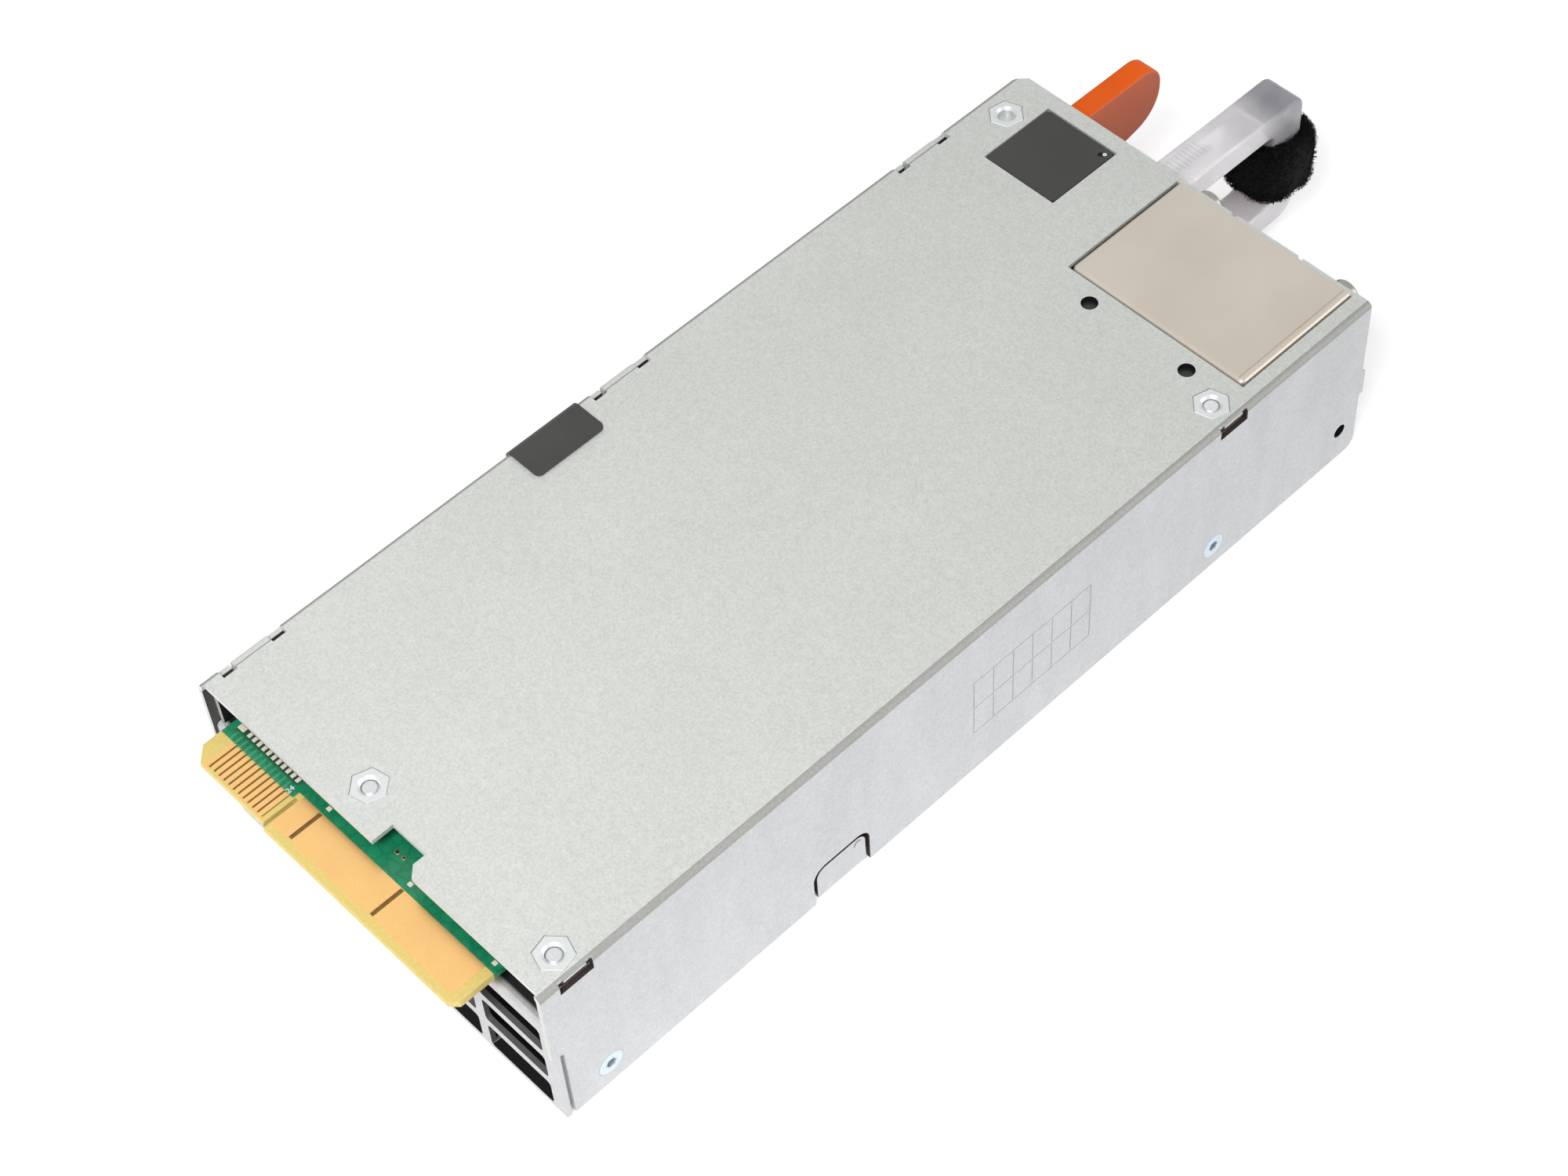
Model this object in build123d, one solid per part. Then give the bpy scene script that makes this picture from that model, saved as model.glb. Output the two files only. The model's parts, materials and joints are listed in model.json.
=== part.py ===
from build123d import *
import os
from math import cos, pi, radians, sin

# Hot swap power supply of a rack server, in millimetres.
# +X is across the case, +Y points out of the card edge, +Z is up.
# The origin is the centre of the underside.
# Sheet steel case: a shell that folds over the roof and both walls, a cover from below,
# an outlet grille at the card edge end and a perforated panel at the handle end.

# Case
case_width = 86.0
case_length = 197.0
case_height = 38.8
sheet = 1.0
inside_radius = 0.3
cut_over = 1.0
touch_gap = 0.1
seat_gap = 0.3
press_gap = 0.02

wall_x = case_width / 2
inner_x = wall_x - sheet
flange_x = inner_x - sheet
rear_y = case_length / 2
front_y = -case_length / 2
roof_z = case_height - sheet
fold_radius = inside_radius + sheet
panel_back_y = front_y + sheet

# Ends of the shell
wall_reach = 0.6
wall_step_z = 19.5
wall_setback = 1.8
wall_step_radius = wall_setback - sheet - touch_gap
corner_cut = 2.6
wall_foot_radius = 2.5
lug_reach = 0.9
lug_low_z = 14.0
lug_height = 6.0

# Notch over the card edge
card_notch_x = -1.9
card_notch_width = 8.1
card_notch_depth = 4.4
card_notch_bevel = 1.8

# Square window near the handle end and the pad in it
window_margin = 19.4
window_size = 17.4
window_setback = 3.4
window_gap = 0.3
window_pad_radius = 0.8
window_pad_thickness = 1.2
window_pad_sink = 0.2
window_hole_radius = 0.6
window_hole_inset = 2.1
window_x = wall_x - window_margin
window_y = front_y + window_setback + window_size / 2

# Slots in the folds: the last of each row is placed from the handle end
slot_height = 3.0
left_slot_length = 13.3
left_slot_end = 2.9
left_slot_depth = 2.0
left_slot_end_depth = 2.5
left_slot_end_drop = 1.2
left_slot_setbacks = (9.9, 92.9)
left_slot_inset = 28.0
right_slot_length = 6.9
right_slot_end = 1.1
right_slot_depth = 0.3
right_slot_end_depth = 0.7
right_slot_setback = 6.9
right_slot_inset = 36.8

# Cover's flanges and the tabs on them that stand in the slots
flange_drop = 1.9
tab_drop = 0.2
tab_corner_radius = 0.9
flange_top_z = roof_z - flange_drop

# Pad folded over the left edge
edge_pad_setback = 75.5
edge_pad_length = 15.7
edge_pad_reach = 8.4
edge_pad_thickness = 0.5
edge_pad_corner_radius = 1.2

# Round holes in the roof, placed from the inlet can's two sides
roof_hole_radius = 1.6
roof_hole_inset = 34.3
roof_hole_left_margin = 8.5
roof_hole_right_margin = 9.4

# Countersunk screws low in both walls
rear_wall_screw_setback = 10.2
front_wall_screw_inset = 39.5
wall_screw_z = 5.4
wall_screw_radius = 1.4
wall_screw_head_radius = 2.75
wall_screw_length = 4.0
wall_screw_ys = (rear_y - rear_wall_screw_setback, front_y + front_wall_screw_inset)
recess_radius = 0.95
recess_depth = 0.8

# Side hole at the handle end of the right wall
side_hole_setback = 4.7
side_hole_z = 7.6
side_hole_radius = 1.45

# Notch in the right wall's lower edge and the cover's raised tab in it
wall_notch_setback = 56.4
wall_notch_length = 13.2
wall_notch_height = 9.8
wall_notch_radius = 3.0
raised_tab_margin = 0.9
raised_tab_rise = 0.85
raised_tab_root_z = 2.4
dimple_radius = 0.9
dimple_rise = 0.1
dimple_inset = 2.6

# Plain grid stamped in the right wall
grid_start_setback = 124.1
grid_length = 29.0
grid_low_z = 11.0
grid_height = 14.6
grid_columns = 6
grid_rows = 2
grid_line = 0.28
grid_depth = 0.12

# Screws
m3_radius = 1.5
m3_head_radius = 2.8
m3_head_height = 1.9
m3_end_chamfer = 0.3

# Fan
fan_head_room = 3.8
fan_wall_gap = 3.7
fan_depth = 28.0
fan_hole_margin = 3.25
fan_hole_radius = 1.45
fan_bore_wall = 1.0
fan_barrel_wall = 0.8
fan_flange_thickness = 3.2
fan_corner_radius = 2.0
fan_base_rim = 0.2
fan_base_thickness = 1.8
strut_count = 4
strut_width = 2.0
hub_radius = 8.4
hub_wall = 1.2
hub_front_gap = 0.8
hub_length = 21.0
blade_count = 7
blade_tip_gap = 0.5
blade_height = 16.0
blade_root_half_width = 3.4
blade_tip_half_width = 6.2
blade_thickness = 1.1
blade_camber = 1.0
blade_inset = 0.9
bearing_tube_wall = 0.9
bearing_radius = 2.6
bearing_length = 3.2
shaft_radius = 1.0
run_gap = 0.05
stator_gap = 0.6
stator_length = 9.0
stator_poles = 4
stator_slot_width = 1.6
gasket_thickness = 2.4
fan_screw_length = 9.0

fan_size = case_height - fan_head_room
fan_x = flange_x - fan_wall_gap - fan_size / 2
fan_z = case_height / 2
fan_front_y = panel_back_y + gasket_thickness
fan_back_y = fan_front_y + fan_depth
fan_hole_spacing = fan_size - 2 * fan_hole_margin
fan_bore_radius = fan_size / 2 - fan_bore_wall
fan_barrel_radius = fan_bore_radius + fan_barrel_wall
fan_base_radius = hub_radius + fan_base_rim
bearing_tube_radius = bearing_radius + bearing_tube_wall
bearing_tube_length = hub_length - hub_wall - hub_front_gap
stator_radius = hub_radius - hub_wall - stator_gap

# Mains inlet and its can, which fills the width beside the fan
fan_can_gap = 0.4
can_wall_gap = 4.0
can_short_by = 1.2
can_bottom_z = 9.9
can_proud = 0.2
can_wall = 0.5
can_front_wall = 1.0
can_radius = 1.3
can_window_gap = 0.3
can_seam_inset = 1.4
can_seam_width = 0.3
can_seam_depth = 0.15
inlet_body_width = 26.8
inlet_body_depth = 20.0
inlet_foot_gap = 1.9
inlet_head_gap = 1.8
inlet_lip = 0.7
inlet_lip_thickness = 1.6
inlet_wall = 1.3
inlet_cavity_depth = 16.5
inlet_bevel = 5.0
inlet_gap = 0.15
pin_pitch = 7.0
pin_earth_rise = 1.7
pin_width = 2.0
pin_height = 4.0
pin_recess = 1.5
pin_tail = 3.0
inlet_screw_margin = 4.4
inlet_screw_drop = 3.4
inlet_screw_length = 6.0
strip_notch_offsets = (9.2, -6.4)
strip_notch_width = 1.2
strip_notch_depth = 0.7

can_left_x = fan_x - fan_size / 2 - fan_can_gap
can_right_x = -wall_x + can_wall_gap
can_width = can_left_x - can_right_x
can_back_y = fan_back_y - can_short_by
inlet_x = can_right_x + can_width * 6 / 13
inlet_screw_pitch = can_width - 2 * inlet_screw_margin
inlet_screw_z = case_height - inlet_screw_drop
inlet_low_z = can_bottom_z + inlet_foot_gap
inlet_high_z = inlet_screw_z - m3_head_radius - inlet_head_gap
inlet_z = (inlet_low_z + inlet_high_z) / 2
inlet_body_height = inlet_high_z - inlet_low_z
inlet_cavity_width = inlet_body_width - 2 * inlet_wall
inlet_cavity_height = inlet_body_height - 2 * inlet_wall
roof_hole_xs = (can_left_x - roof_hole_left_margin, can_right_x + roof_hole_right_margin)

# Perforated panel
panel_side_gap = 0.1
panel_flange_length = 8.5
panel_flange_z = (2.2, 9.0)
panel_flange_drops = (10.2, 2.8)
vent_rim = 0.3
vent_cell = 3.4
vent_web = 0.7
vent_radius = fan_bore_radius - vent_rim

# Board with the card edge
board_thickness = 1.6
board_drop = 3.6
board_side_gap = 0.7
board_fan_gap = 1.1
board_shoulder_setback = 2.2
tongue_left_margin = 6.4
tongue_right_margin = 10.2
tongue_reach = 9.4
signal_step = 0.6
key_inset = 19.7
key_width = 0.8
key_depth = 7.4
tongue_bevel_left = 2.7
tongue_bevel_right = 1.6
tongue_lead_drop = 0.5
tongue_lead_length = 0.2
board_top_z = roof_z - board_drop
board_low_z = board_top_z - board_thickness
board_front_y = fan_back_y + board_fan_gap
tongue_left_x = inner_x - tongue_left_margin
tongue_right_x = tongue_right_margin - inner_x
key_x = tongue_left_x - key_inset

# Outlet grille at the card edge end, whose rows fill the height below the board
grille_board_gap = 5.0
grille_rows = 3
grille_low_web = 1.2
grille_web = 2.0
grille_head_web = 2.7
grille_post_pitch = 15.45
grille_posts_between = 4
grille_end_margin = 2.0
grille_post_width = 2.3
grille_corner_radius = 0.9
grille_top_fold = 5.0
grille_foot_length = 8.0
grille_side_gap = 0.1
grille_height = board_low_z - grille_board_gap
grille_webs = grille_low_web + (grille_rows - 1) * grille_web + grille_head_web
grille_row_height = (grille_height - grille_webs) / grille_rows

# Contacts on the card edge
finger_count = 12
finger_pitch = 1.27
finger_width = 0.9
finger_edge_gap = 3.7
finger_inner_reach = 2.5
finger_length = 6.1
finger_short_by = 0.8
short_fingers = (1, 2, 4, 6)
contact_thickness = 0.07
power_pad_gap = 0.8
power_pad_inner_reach = 0.9
power_pad_length = 6.9
key_pad_gap = 0.6
key_pad_width = 4.1
middle_pad_width = 19.8
last_pad_margin = 1.9

# Clinch nuts: three hold the board, one is short and closed below
nut_middle_x = 6.6
nut_middle_setback = 6.5
nut_side_setback = 6.7
nut_side_margin = 4.9
nut_front_inset = 4.6
nut_front_margin = 5.2
short_nut_margin = 6.0
short_nut_inset = 9.9
nut_turns = (12, 43, 15, 19)
nut_flats = 6.2
nut_head = 0.6
nut_edge = 0.15
nut_head_gap = 0.05
nut_shank_radius = 2.8
nut_bore_radius = 1.55
nut_mouth_radius = 2.05
nut_mouth_depth = 0.5
short_nut_length = 2.2
short_nut_floor = 0.6
nut_screw_sink = 0.5
nut_places = (
    (nut_middle_x, rear_y - nut_middle_setback, nut_turns[0]),
    (-wall_x + nut_side_margin, rear_y - nut_side_setback, nut_turns[1]),
    (-wall_x + nut_front_margin, board_front_y + nut_front_inset, nut_turns[2]),
)
short_nut_place = (wall_x - short_nut_margin, front_y + short_nut_inset, nut_turns[3])

# Insulating sheet between board and roof
insulator_thickness = 0.4
insulator_side_gap = 2.5
insulator_rear_setback = 10.6
insulator_hole_gap = 0.5

# Latch
latch_travel_deg = 2.8
arm_gap = 0.3
arm_thickness = 0.8
arm_drop = 0.4
arm_height = 12.0
arm_reach = 5.9
pivot_setback = 48.5
pivot_radius = 0.9
barrel_radius = 1.7
tooth_setback = 14.5
tooth_length = 8.0
tooth_reach = 1.6
tooth_flat = 1.6
tooth_height = 8.0
tooth_window_gap = 0.8
bracket_thickness = 0.8
bracket_length = 15.0
bracket_tail_gap = 2.3
ear_gap = 0.2
ear_width = 4.7
spring_thickness = 0.3
spring_height = 6.0
spring_contact = 4.6
arm_middle_z = case_height / 2 - arm_drop
arm_low_z = arm_middle_z - arm_height / 2

# Release lever
front_top_drop = 3.8
lever_wall_gap = 12.95
lever_thickness = 4.9
lever_base_height = 17.7
lever_tip_height = 12.5
lever_top_radius = 5.0
lever_low_radius = 8.0
lever_reach = 23.6
lever_panel_gap = 1.3
lever_foot_thickness = 4.4
lever_foot_margin = 1.6
lever_foot_wall_gap = 0.7
lever_edge_radius = 0.5
rivet_radius = 1.1
rivet_pitch = 6.0
lever_x = wall_x - lever_wall_gap
lever_top_z = case_height - front_top_drop
lever_foot_end_x = wall_x - lever_foot_wall_gap

# Handle with light guide
handle_fan_inset = 4.15
handle_width = 8.5
handle_bottom_z = 4.0
handle_arm_height = 5.7
handle_reach = 35.5
handle_bar_depth = 8.0
handle_top_radius = 3.0
handle_outer_radius = 5.0
handle_inner_radius = 2.0
handle_edge_radius = 0.7
handle_screw_length = 14.0
guide_foot_reach = 6.0
guide_foot_overlap = 1.4
guide_foot_thickness = 1.8
guide_radius = 1.7
guide_inset = 2.4
guide_hole_gap = 0.2
handle_x = fan_x - fan_size / 2 + handle_fan_inset
handle_top_z = case_height - front_top_drop

# Cable strap round the handle's bar
strap_height = 13.2
strap_rise = 0.2
strap_thickness = 3.8
strap_corner_radius = 5.2

# Status lamp
lamp_board_length = 14.0
lamp_board_width = 6.6
lamp_board_thickness = 1.0
lamp_size = 3.2
lamp_guide_gap = 0.4

# Parts under the board
film_cap_size = (12.0, 21.0, 17.0)
film_cap_wall_gap = 7.5
board_edge_gap = 1.5
choke_outer_radius = 12.5
choke_inner_radius = 6.0
choke_height = 11.0
choke_wrap = 1.3
choke_ribs = 12
choke_wall_gap = 4.2
choke_film_gap = 3.2
line_choke_radius = 8.6
line_choke_height = 13.0
line_choke_gap = 2.6
line_choke_edge_gap = 1.1
relay_size = (12.0, 15.0, 12.0)
relay_gap = 5.6
fuse_radius = 2.6
fuse_length = 18.0
fuse_cap_length = 4.0
fuse_gap = 2.9
fuse_edge_gap = 8.5
control_wall_gap = 3.4
control_rear_gap = 16.0
control_length = 62.0
control_height = 26.0
control_thickness = 1.2
chip_size = (1.6, 7.0, 7.0)
chip_count = 4
chip_pitch = 14.0
capacitor_radius = 13.0
capacitor_length = 42.0
capacitor_groove = 0.6
capacitor_side_gap = 1.5
sink_capacitor_gap = 2.9
sink_choke_gap = 1.2
sink_length = 48.0
sink_height = 26.0
sink_base = 2.4
sink_fins = 5
sink_fin_thickness = 1.0
sink_fin_reach = 4.4
transistor_count = 4
transistor_width = 10.2
transistor_height = 15.0
transistor_thickness = 4.4
transformer_side_gap = 0.4
transformer_wall_gap = 5.0
transformer_choke_gap = 14.3
transformer_length = 28.0
transformer_height = 24.0
transformer_winding_gap = 0.4
output_cap_radius = 4.0
output_cap_height = 11.0
output_cap_setback = 23.5
output_cap_columns = 5
output_cap_rows = 2
output_cap_pitch = 9.2
output_sink_gap = 3.2
output_sink_end_gap = 4.5
output_sink_x = 9.0
output_sink_height = 22.0
bus_bar_width = 7.0
bus_bar_thickness = 1.5
bus_bar_xs = (-20.0, 0.5, 21.0)
bus_bar_gap = 2.1
bus_bar_end_gap = 0.5

# Across the board, from the right wall at its front and from the left wall behind
film_cap_x = -flange_x + film_cap_wall_gap + film_cap_size[0] / 2
line_choke_reach = line_choke_radius + choke_wrap
line_choke_x = film_cap_x + film_cap_size[0] / 2 + line_choke_gap + line_choke_reach
relay_x = line_choke_x + line_choke_reach + relay_gap + relay_size[0] / 2
fuse_x = relay_x + relay_size[0] / 2 + fuse_gap + fuse_radius
choke_reach = choke_outer_radius + choke_wrap
choke_x = -flange_x + choke_wall_gap + choke_reach
control_x = flange_x - control_wall_gap
capacitor_x = control_x - chip_size[0] - capacitor_side_gap - capacitor_radius
sink_x = capacitor_x - capacitor_radius - sink_capacitor_gap - sink_fin_reach - sink_base
transformer_left_x = sink_x - transistor_thickness - transformer_side_gap
transformer_right_x = -flange_x + transformer_wall_gap
transformer_width = transformer_left_x - transformer_right_x
transformer_x = (transformer_left_x + transformer_right_x) / 2
transformer_leg = transformer_width * 11 / 60

# Along the board, from its front edge and from the card edge end
film_cap_y = board_front_y + board_edge_gap + film_cap_size[1] / 2
line_choke_y = board_front_y + line_choke_edge_gap + line_choke_reach
relay_y = board_front_y + board_edge_gap + relay_size[1] / 2
fuse_y = board_front_y + fuse_edge_gap
choke_y = film_cap_y + film_cap_size[1] / 2 + choke_film_gap + choke_reach
choke_back_y = choke_y + choke_reach
sink_y = choke_back_y + sink_choke_gap
transformer_reach = transformer_length / 2 + transformer_winding_gap + transformer_leg
transformer_y = choke_back_y + transformer_choke_gap + transformer_reach
output_cap_y = rear_y - output_cap_setback
output_cap_front_y = output_cap_y - output_cap_radius
output_sink_y = choke_back_y + capacitor_length + output_sink_gap
output_sink_length = output_cap_front_y - output_sink_end_gap - output_sink_y
bus_bar_y = transformer_y + transformer_reach + bus_bar_gap
control_y = rear_y - control_rear_gap - control_length


def block(x, y, z):
    """Box between the two ends given on each axis."""
    size = [end - start for start, end in (x, y, z)]
    middle = [(start + end) / 2 for start, end in (x, y, z)]
    return Pos(*middle) * Box(*size)


def along_x(sketch, start, end):
    """Solid of a (y, z) outline between two x places."""
    return extrude(Plane.YZ.offset(start) * sketch, end - start)


def along_y(sketch, start, end):
    """Solid of an (x, z) outline between two y places."""
    return extrude(Plane.XZ.offset(-end) * sketch, end - start)


def along_z(sketch, start, end):
    """Solid of an (x, y) outline between two z places."""
    return extrude(Plane.XY.offset(start) * sketch, end - start)


def rod_x(radius, x, y, z):
    return along_x(Pos(y, z) * Circle(radius), x[0], x[1])


def rod_y(radius, x, y, z):
    return along_y(Pos(x, z) * Circle(radius), y[0], y[1])


def rod_z(radius, x, y, z):
    return along_z(Pos(x, y) * Circle(radius), z[0], z[1])


def span(middle, length):
    """The two ends of a length about its middle."""
    return (middle - length / 2, middle + length / 2)


def back(setback):
    """The y place at a distance back from the card edge end."""
    return rear_y - setback


def group(shapes):
    """Separate solids that share one node."""
    solids = []
    for shape in shapes:
        solids += shape.solids()
    return Compound(children=solids)


def folded_outline(width, height, radius, top):
    """Rectangle on z = 0 with its two upper or its two lower corners rounded."""
    outline = Pos(0, height / 2) * Rectangle(width, height)
    rows = outline.vertices().group_by(Axis.Y)
    return fillet(rows[-1] if top else rows[0], radius)


# Case


def left_slot_middles():
    return [back(setback) for setback in left_slot_setbacks] + [front_y + left_slot_inset]


def right_slot_middles():
    return [back(right_slot_setback), front_y + right_slot_inset]


def slot_cutters(side, middle, wall_length, depth, length, end, end_depth, end_drop):
    """Opening at the top of a wall that runs over the fold, with a pocket at each of its ends."""
    low_z = case_height - slot_height
    high_z = case_height + cut_over
    outside = wall_x + cut_over
    y = span(middle, wall_length)
    cutters = [
        block(between(side, inner_x - touch_gap, outside), y, (low_z, roof_z)),
        block(between(side, wall_x - depth, outside), y, (low_z, high_z)),
    ]
    pocket = between(side, wall_x - end_depth, outside)
    for end_middle in span(middle, length - end):
        cutters.append(block(pocket, span(end_middle, end), (case_height - end_drop, high_z)))
    return cutters


def fold_slot_cutters():
    left_opening = left_slot_length - 2 * left_slot_end + 2 * seat_gap
    left = (left_opening, left_slot_depth, left_slot_length, left_slot_end)
    left += (left_slot_end_depth, left_slot_end_drop)
    right = (right_slot_length, right_slot_depth, right_slot_length, right_slot_end)
    right += (right_slot_end_depth, slot_height)
    cutters = []
    for middle in left_slot_middles():
        cutters += slot_cutters(1, middle, *left)
    for middle in right_slot_middles():
        cutters += slot_cutters(-1, middle, *right)
    return cutters


def between(side, inner, outer):
    """The two x places of a range, sorted, on the side given."""
    return tuple(sorted((side * inner, side * outer)))


def tooth_window(gap):
    y = (front_y + tooth_setback - tooth_length - gap, front_y + tooth_setback + gap)
    z = span(arm_middle_z, tooth_height + 2 * gap)
    return block((flange_x - cut_over, wall_x + cut_over), y, z)


def wall_screw(side, radius_gap):
    """A countersunk screw, larger by the gap when it is used as a cutter."""
    radius = wall_screw_radius + radius_gap
    head = wall_screw_head_radius + radius_gap
    shapes = []
    for y in wall_screw_ys:
        start = Plane((side * wall_x, y, wall_screw_z), z_dir=(-side, 0, 0))
        cone = start * Pos(0, 0, (head - radius) / 2) * Cone(head, radius, head - radius)
        shank = start * Pos(0, 0, wall_screw_length / 2) * Cylinder(radius, wall_screw_length)
        shapes.append(cone + shank)
    return shapes


def nut_hexagon(turn, gap):
    return RegularPolygon(nut_flats / 2 + gap, 6, major_radius=False, rotation=turn)


def roof_cutters():
    depth = (roof_z - cut_over, case_height + cut_over)
    notch_right_x = card_notch_x - card_notch_width
    notch = Polyline(
        (card_notch_x, rear_y + cut_over),
        (card_notch_x, back(card_notch_depth)),
        (notch_right_x, back(card_notch_depth)),
        (notch_right_x, back(card_notch_bevel)),
        (notch_right_x - card_notch_bevel, rear_y),
        (notch_right_x - card_notch_bevel, rear_y + cut_over),
        close=True,
    )
    corner = Polyline(
        (wall_x + cut_over, front_y - cut_over),
        (wall_x + cut_over, front_y + corner_cut + cut_over),
        (wall_x - corner_cut - cut_over, front_y - cut_over),
        close=True,
    )
    cutters = [
        along_z(make_face(notch), *depth),
        along_z(Pos(window_x, window_y) * Rectangle(window_size, window_size), *depth),
        along_z(make_face(corner), *depth),
        block(
            (can_right_x - can_window_gap, can_left_x + can_window_gap),
            (front_y - cut_over, can_back_y + can_window_gap),
            depth,
        ),
    ]
    for x in roof_hole_xs:
        cutters.append(rod_z(roof_hole_radius, x, front_y + roof_hole_inset, depth))
    for x, y, turn in nut_places + (short_nut_place,):
        head = Pos(x, y) * nut_hexagon(turn, nut_head_gap)
        cutters.append(along_z(head, case_height - nut_head, depth[1]))
        cutters.append(rod_z(nut_shank_radius + press_gap, x, y, depth))
    return cutters


def wall_cutters():
    cutters = fold_slot_cutters()
    for side in (-1, 1):
        cutters += wall_screw(side, press_gap)
        x = between(side, inner_x - cut_over, wall_x + cut_over)
        end = (back(wall_setback), rear_y + wall_reach + cut_over)
        step = block(x, end, (-cut_over, wall_step_z))
        corner = step.edges().filter_by(Axis.X).group_by(Axis.Z)[-1].sort_by(Axis.Y)[0]
        cutters.append(fillet(corner, wall_step_radius))
    right = (-wall_x - cut_over, -inner_x + cut_over)
    cutters.append(along_x(wall_notch_outline(), *right))
    cutters.append(rod_x(side_hole_radius, right, front_y + side_hole_setback, side_hole_z))
    cutters.append(tooth_window(tooth_window_gap))
    return cutters


def wall_notch_outline():
    place = Pos(back(wall_notch_setback + wall_notch_length / 2), 0)
    return place * RectangleRounded(wall_notch_length, 2 * wall_notch_height, wall_notch_radius)


def stamped_grid():
    """Thin grooves of a plain table on the right wall."""
    start = back(grid_start_setback) - grid_line / 2
    grooves = []
    depth = (-wall_x - cut_over, -wall_x + grid_depth)
    ends = (start, start + grid_length + grid_line)
    for row in range(grid_rows + 1):
        z = grid_low_z + row * grid_height / grid_rows
        grooves.append(block(depth, ends, span(z, grid_line)))
    for column in range(grid_columns + 1):
        y = start + column * grid_length / grid_columns
        rise = (grid_low_z, grid_low_z + grid_height)
        grooves.append(block(depth, (y, y + grid_line), rise))
    return grooves


def make_case_shell():
    outer = folded_outline(case_width, case_height, fold_radius, True)
    inner = folded_outline(2 * inner_x, roof_z, inside_radius, True)
    shell = along_y(outer - inner, front_y, rear_y + wall_reach)
    reach = (rear_y, rear_y + wall_reach + cut_over)
    shell -= block(span(0, 2 * (wall_x - fold_radius)), reach, (roof_z - sheet, case_height + sheet))
    lug_y = (front_y - lug_reach, front_y)
    shell += block((-wall_x, -inner_x), lug_y, (lug_low_z, lug_low_z + lug_height))
    shell -= roof_cutters() + wall_cutters()
    shell -= stamped_grid()
    corners = shell.edges().filter_by(Axis.X).group_by(Axis.Z)[0].group_by(Axis.Y)[0]
    return fillet(corners, wall_foot_radius)


def hemmed_tab(middle):
    """Tab of the left flange, doubled over so that it fills its slot flush with the wall."""
    y = span(middle, left_slot_length - 2 * left_slot_end)
    stem = block((flange_x, inner_x), y, (flange_top_z - sheet, roof_z - tab_drop))
    head_x = (wall_x - left_slot_depth + seat_gap, wall_x - touch_gap)
    low_z = case_height - slot_height + touch_gap
    head = block(head_x, y, (low_z, case_height - tab_drop))
    edge = head.edges().filter_by(Axis.Y).sort_by(lambda line: line.center().X + line.center().Z)[-1]
    return stem + fillet(edge, tab_corner_radius)


def plain_tab(middle):
    """Tab of the right flange, which stays inside the wall behind its slot."""
    y = span(middle, right_slot_length - 2 * right_slot_end)
    return block((-inner_x, -flange_x), y, (flange_top_z - sheet, roof_z - tab_drop))


def make_bottom_cover():
    outer = folded_outline(2 * inner_x, flange_top_z, fold_radius, False)
    inner = Pos(0, sheet) * folded_outline(2 * flange_x, flange_top_z, inside_radius, False)
    cover = along_y(outer - inner, panel_back_y, rear_y - sheet - touch_gap)
    cover += [hemmed_tab(middle) for middle in left_slot_middles()]
    cover += [plain_tab(middle) for middle in right_slot_middles()]
    notch_middle = back(wall_notch_setback + wall_notch_length / 2)
    raised = Pos(notch_middle, 0) * RectangleRounded(
        wall_notch_length - 2 * raised_tab_margin,
        2 * (wall_notch_height - raised_tab_margin),
        wall_notch_radius - raised_tab_margin,
    )
    through = (-inner_x - cut_over, -flange_x + cut_over)
    lanced = along_x(wall_notch_outline() - raised, *through)
    above_root = (raised_tab_root_z, wall_notch_height + cut_over)
    cover -= lanced & block(through, span(notch_middle, wall_notch_length), above_root)
    lifted = along_x(raised, -inner_x - raised_tab_rise, -flange_x)
    cover += lifted & block(through, span(notch_middle, wall_notch_length), (fold_radius, case_height))
    dimple_y = notch_middle - wall_notch_length / 2 + dimple_inset
    dimple = rod_x(
        dimple_radius,
        (-inner_x - raised_tab_rise - dimple_rise, -inner_x),
        dimple_y,
        wall_notch_height - dimple_inset,
    )
    cover += dimple
    for side in (-1, 1):
        cover -= wall_screw(side, press_gap)
    cover -= tooth_window(tooth_window_gap)
    hole = (-inner_x - cut_over, -flange_x + cut_over)
    cover -= rod_x(side_hole_radius, hole, front_y + side_hole_setback, side_hole_z)
    return cover


def make_outlet_grille():
    face = (rear_y - sheet, rear_y)
    low = block(span(0, 2 * (wall_x - grille_side_gap)), face, (0, wall_step_z - grille_side_gap))
    high = block(span(0, 2 * (inner_x - grille_side_gap)), face, (0, grille_height))
    top = block(
        span(0, 2 * (flange_x - grille_side_gap)),
        (face[0] - grille_top_fold, face[1]),
        (grille_height - sheet, grille_height),
    )
    foot = block(
        span(0, 2 * (flange_x - fold_radius)),
        (face[0] - grille_foot_length, face[1]),
        (sheet, 2 * sheet),
    )
    grille = low + high + top + foot
    inner_posts = [
        (index - (grille_posts_between - 1) / 2) * grille_post_pitch
        for index in range(grille_posts_between)
    ]
    end_post = wall_x - grille_end_margin
    posts = [-end_post] + inner_posts + [end_post]
    for left, right in zip(posts, posts[1:]):
        width = right - left - grille_post_width
        for row in range(grille_rows):
            low_z = grille_low_web + row * (grille_row_height + grille_web)
            opening = RectangleRounded(width, grille_row_height, grille_corner_radius)
            place = Pos((left + right) / 2, low_z + grille_row_height / 2)
            grille -= along_y(place * opening, face[0] - cut_over, face[1] + cut_over)
    edge = grille.edges().filter_by(Axis.X).group_by(Axis.Y)[-1].group_by(Axis.Z)[-1]
    return fillet(edge, sheet - touch_gap)


# Mains inlet


def socket_outline(width, height):
    """Rectangle with its two upper corners cut away, as the plug's."""
    outline = Rectangle(width, height)
    return chamfer(outline.vertices().group_by(Axis.Y)[-1], inlet_bevel)


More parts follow.
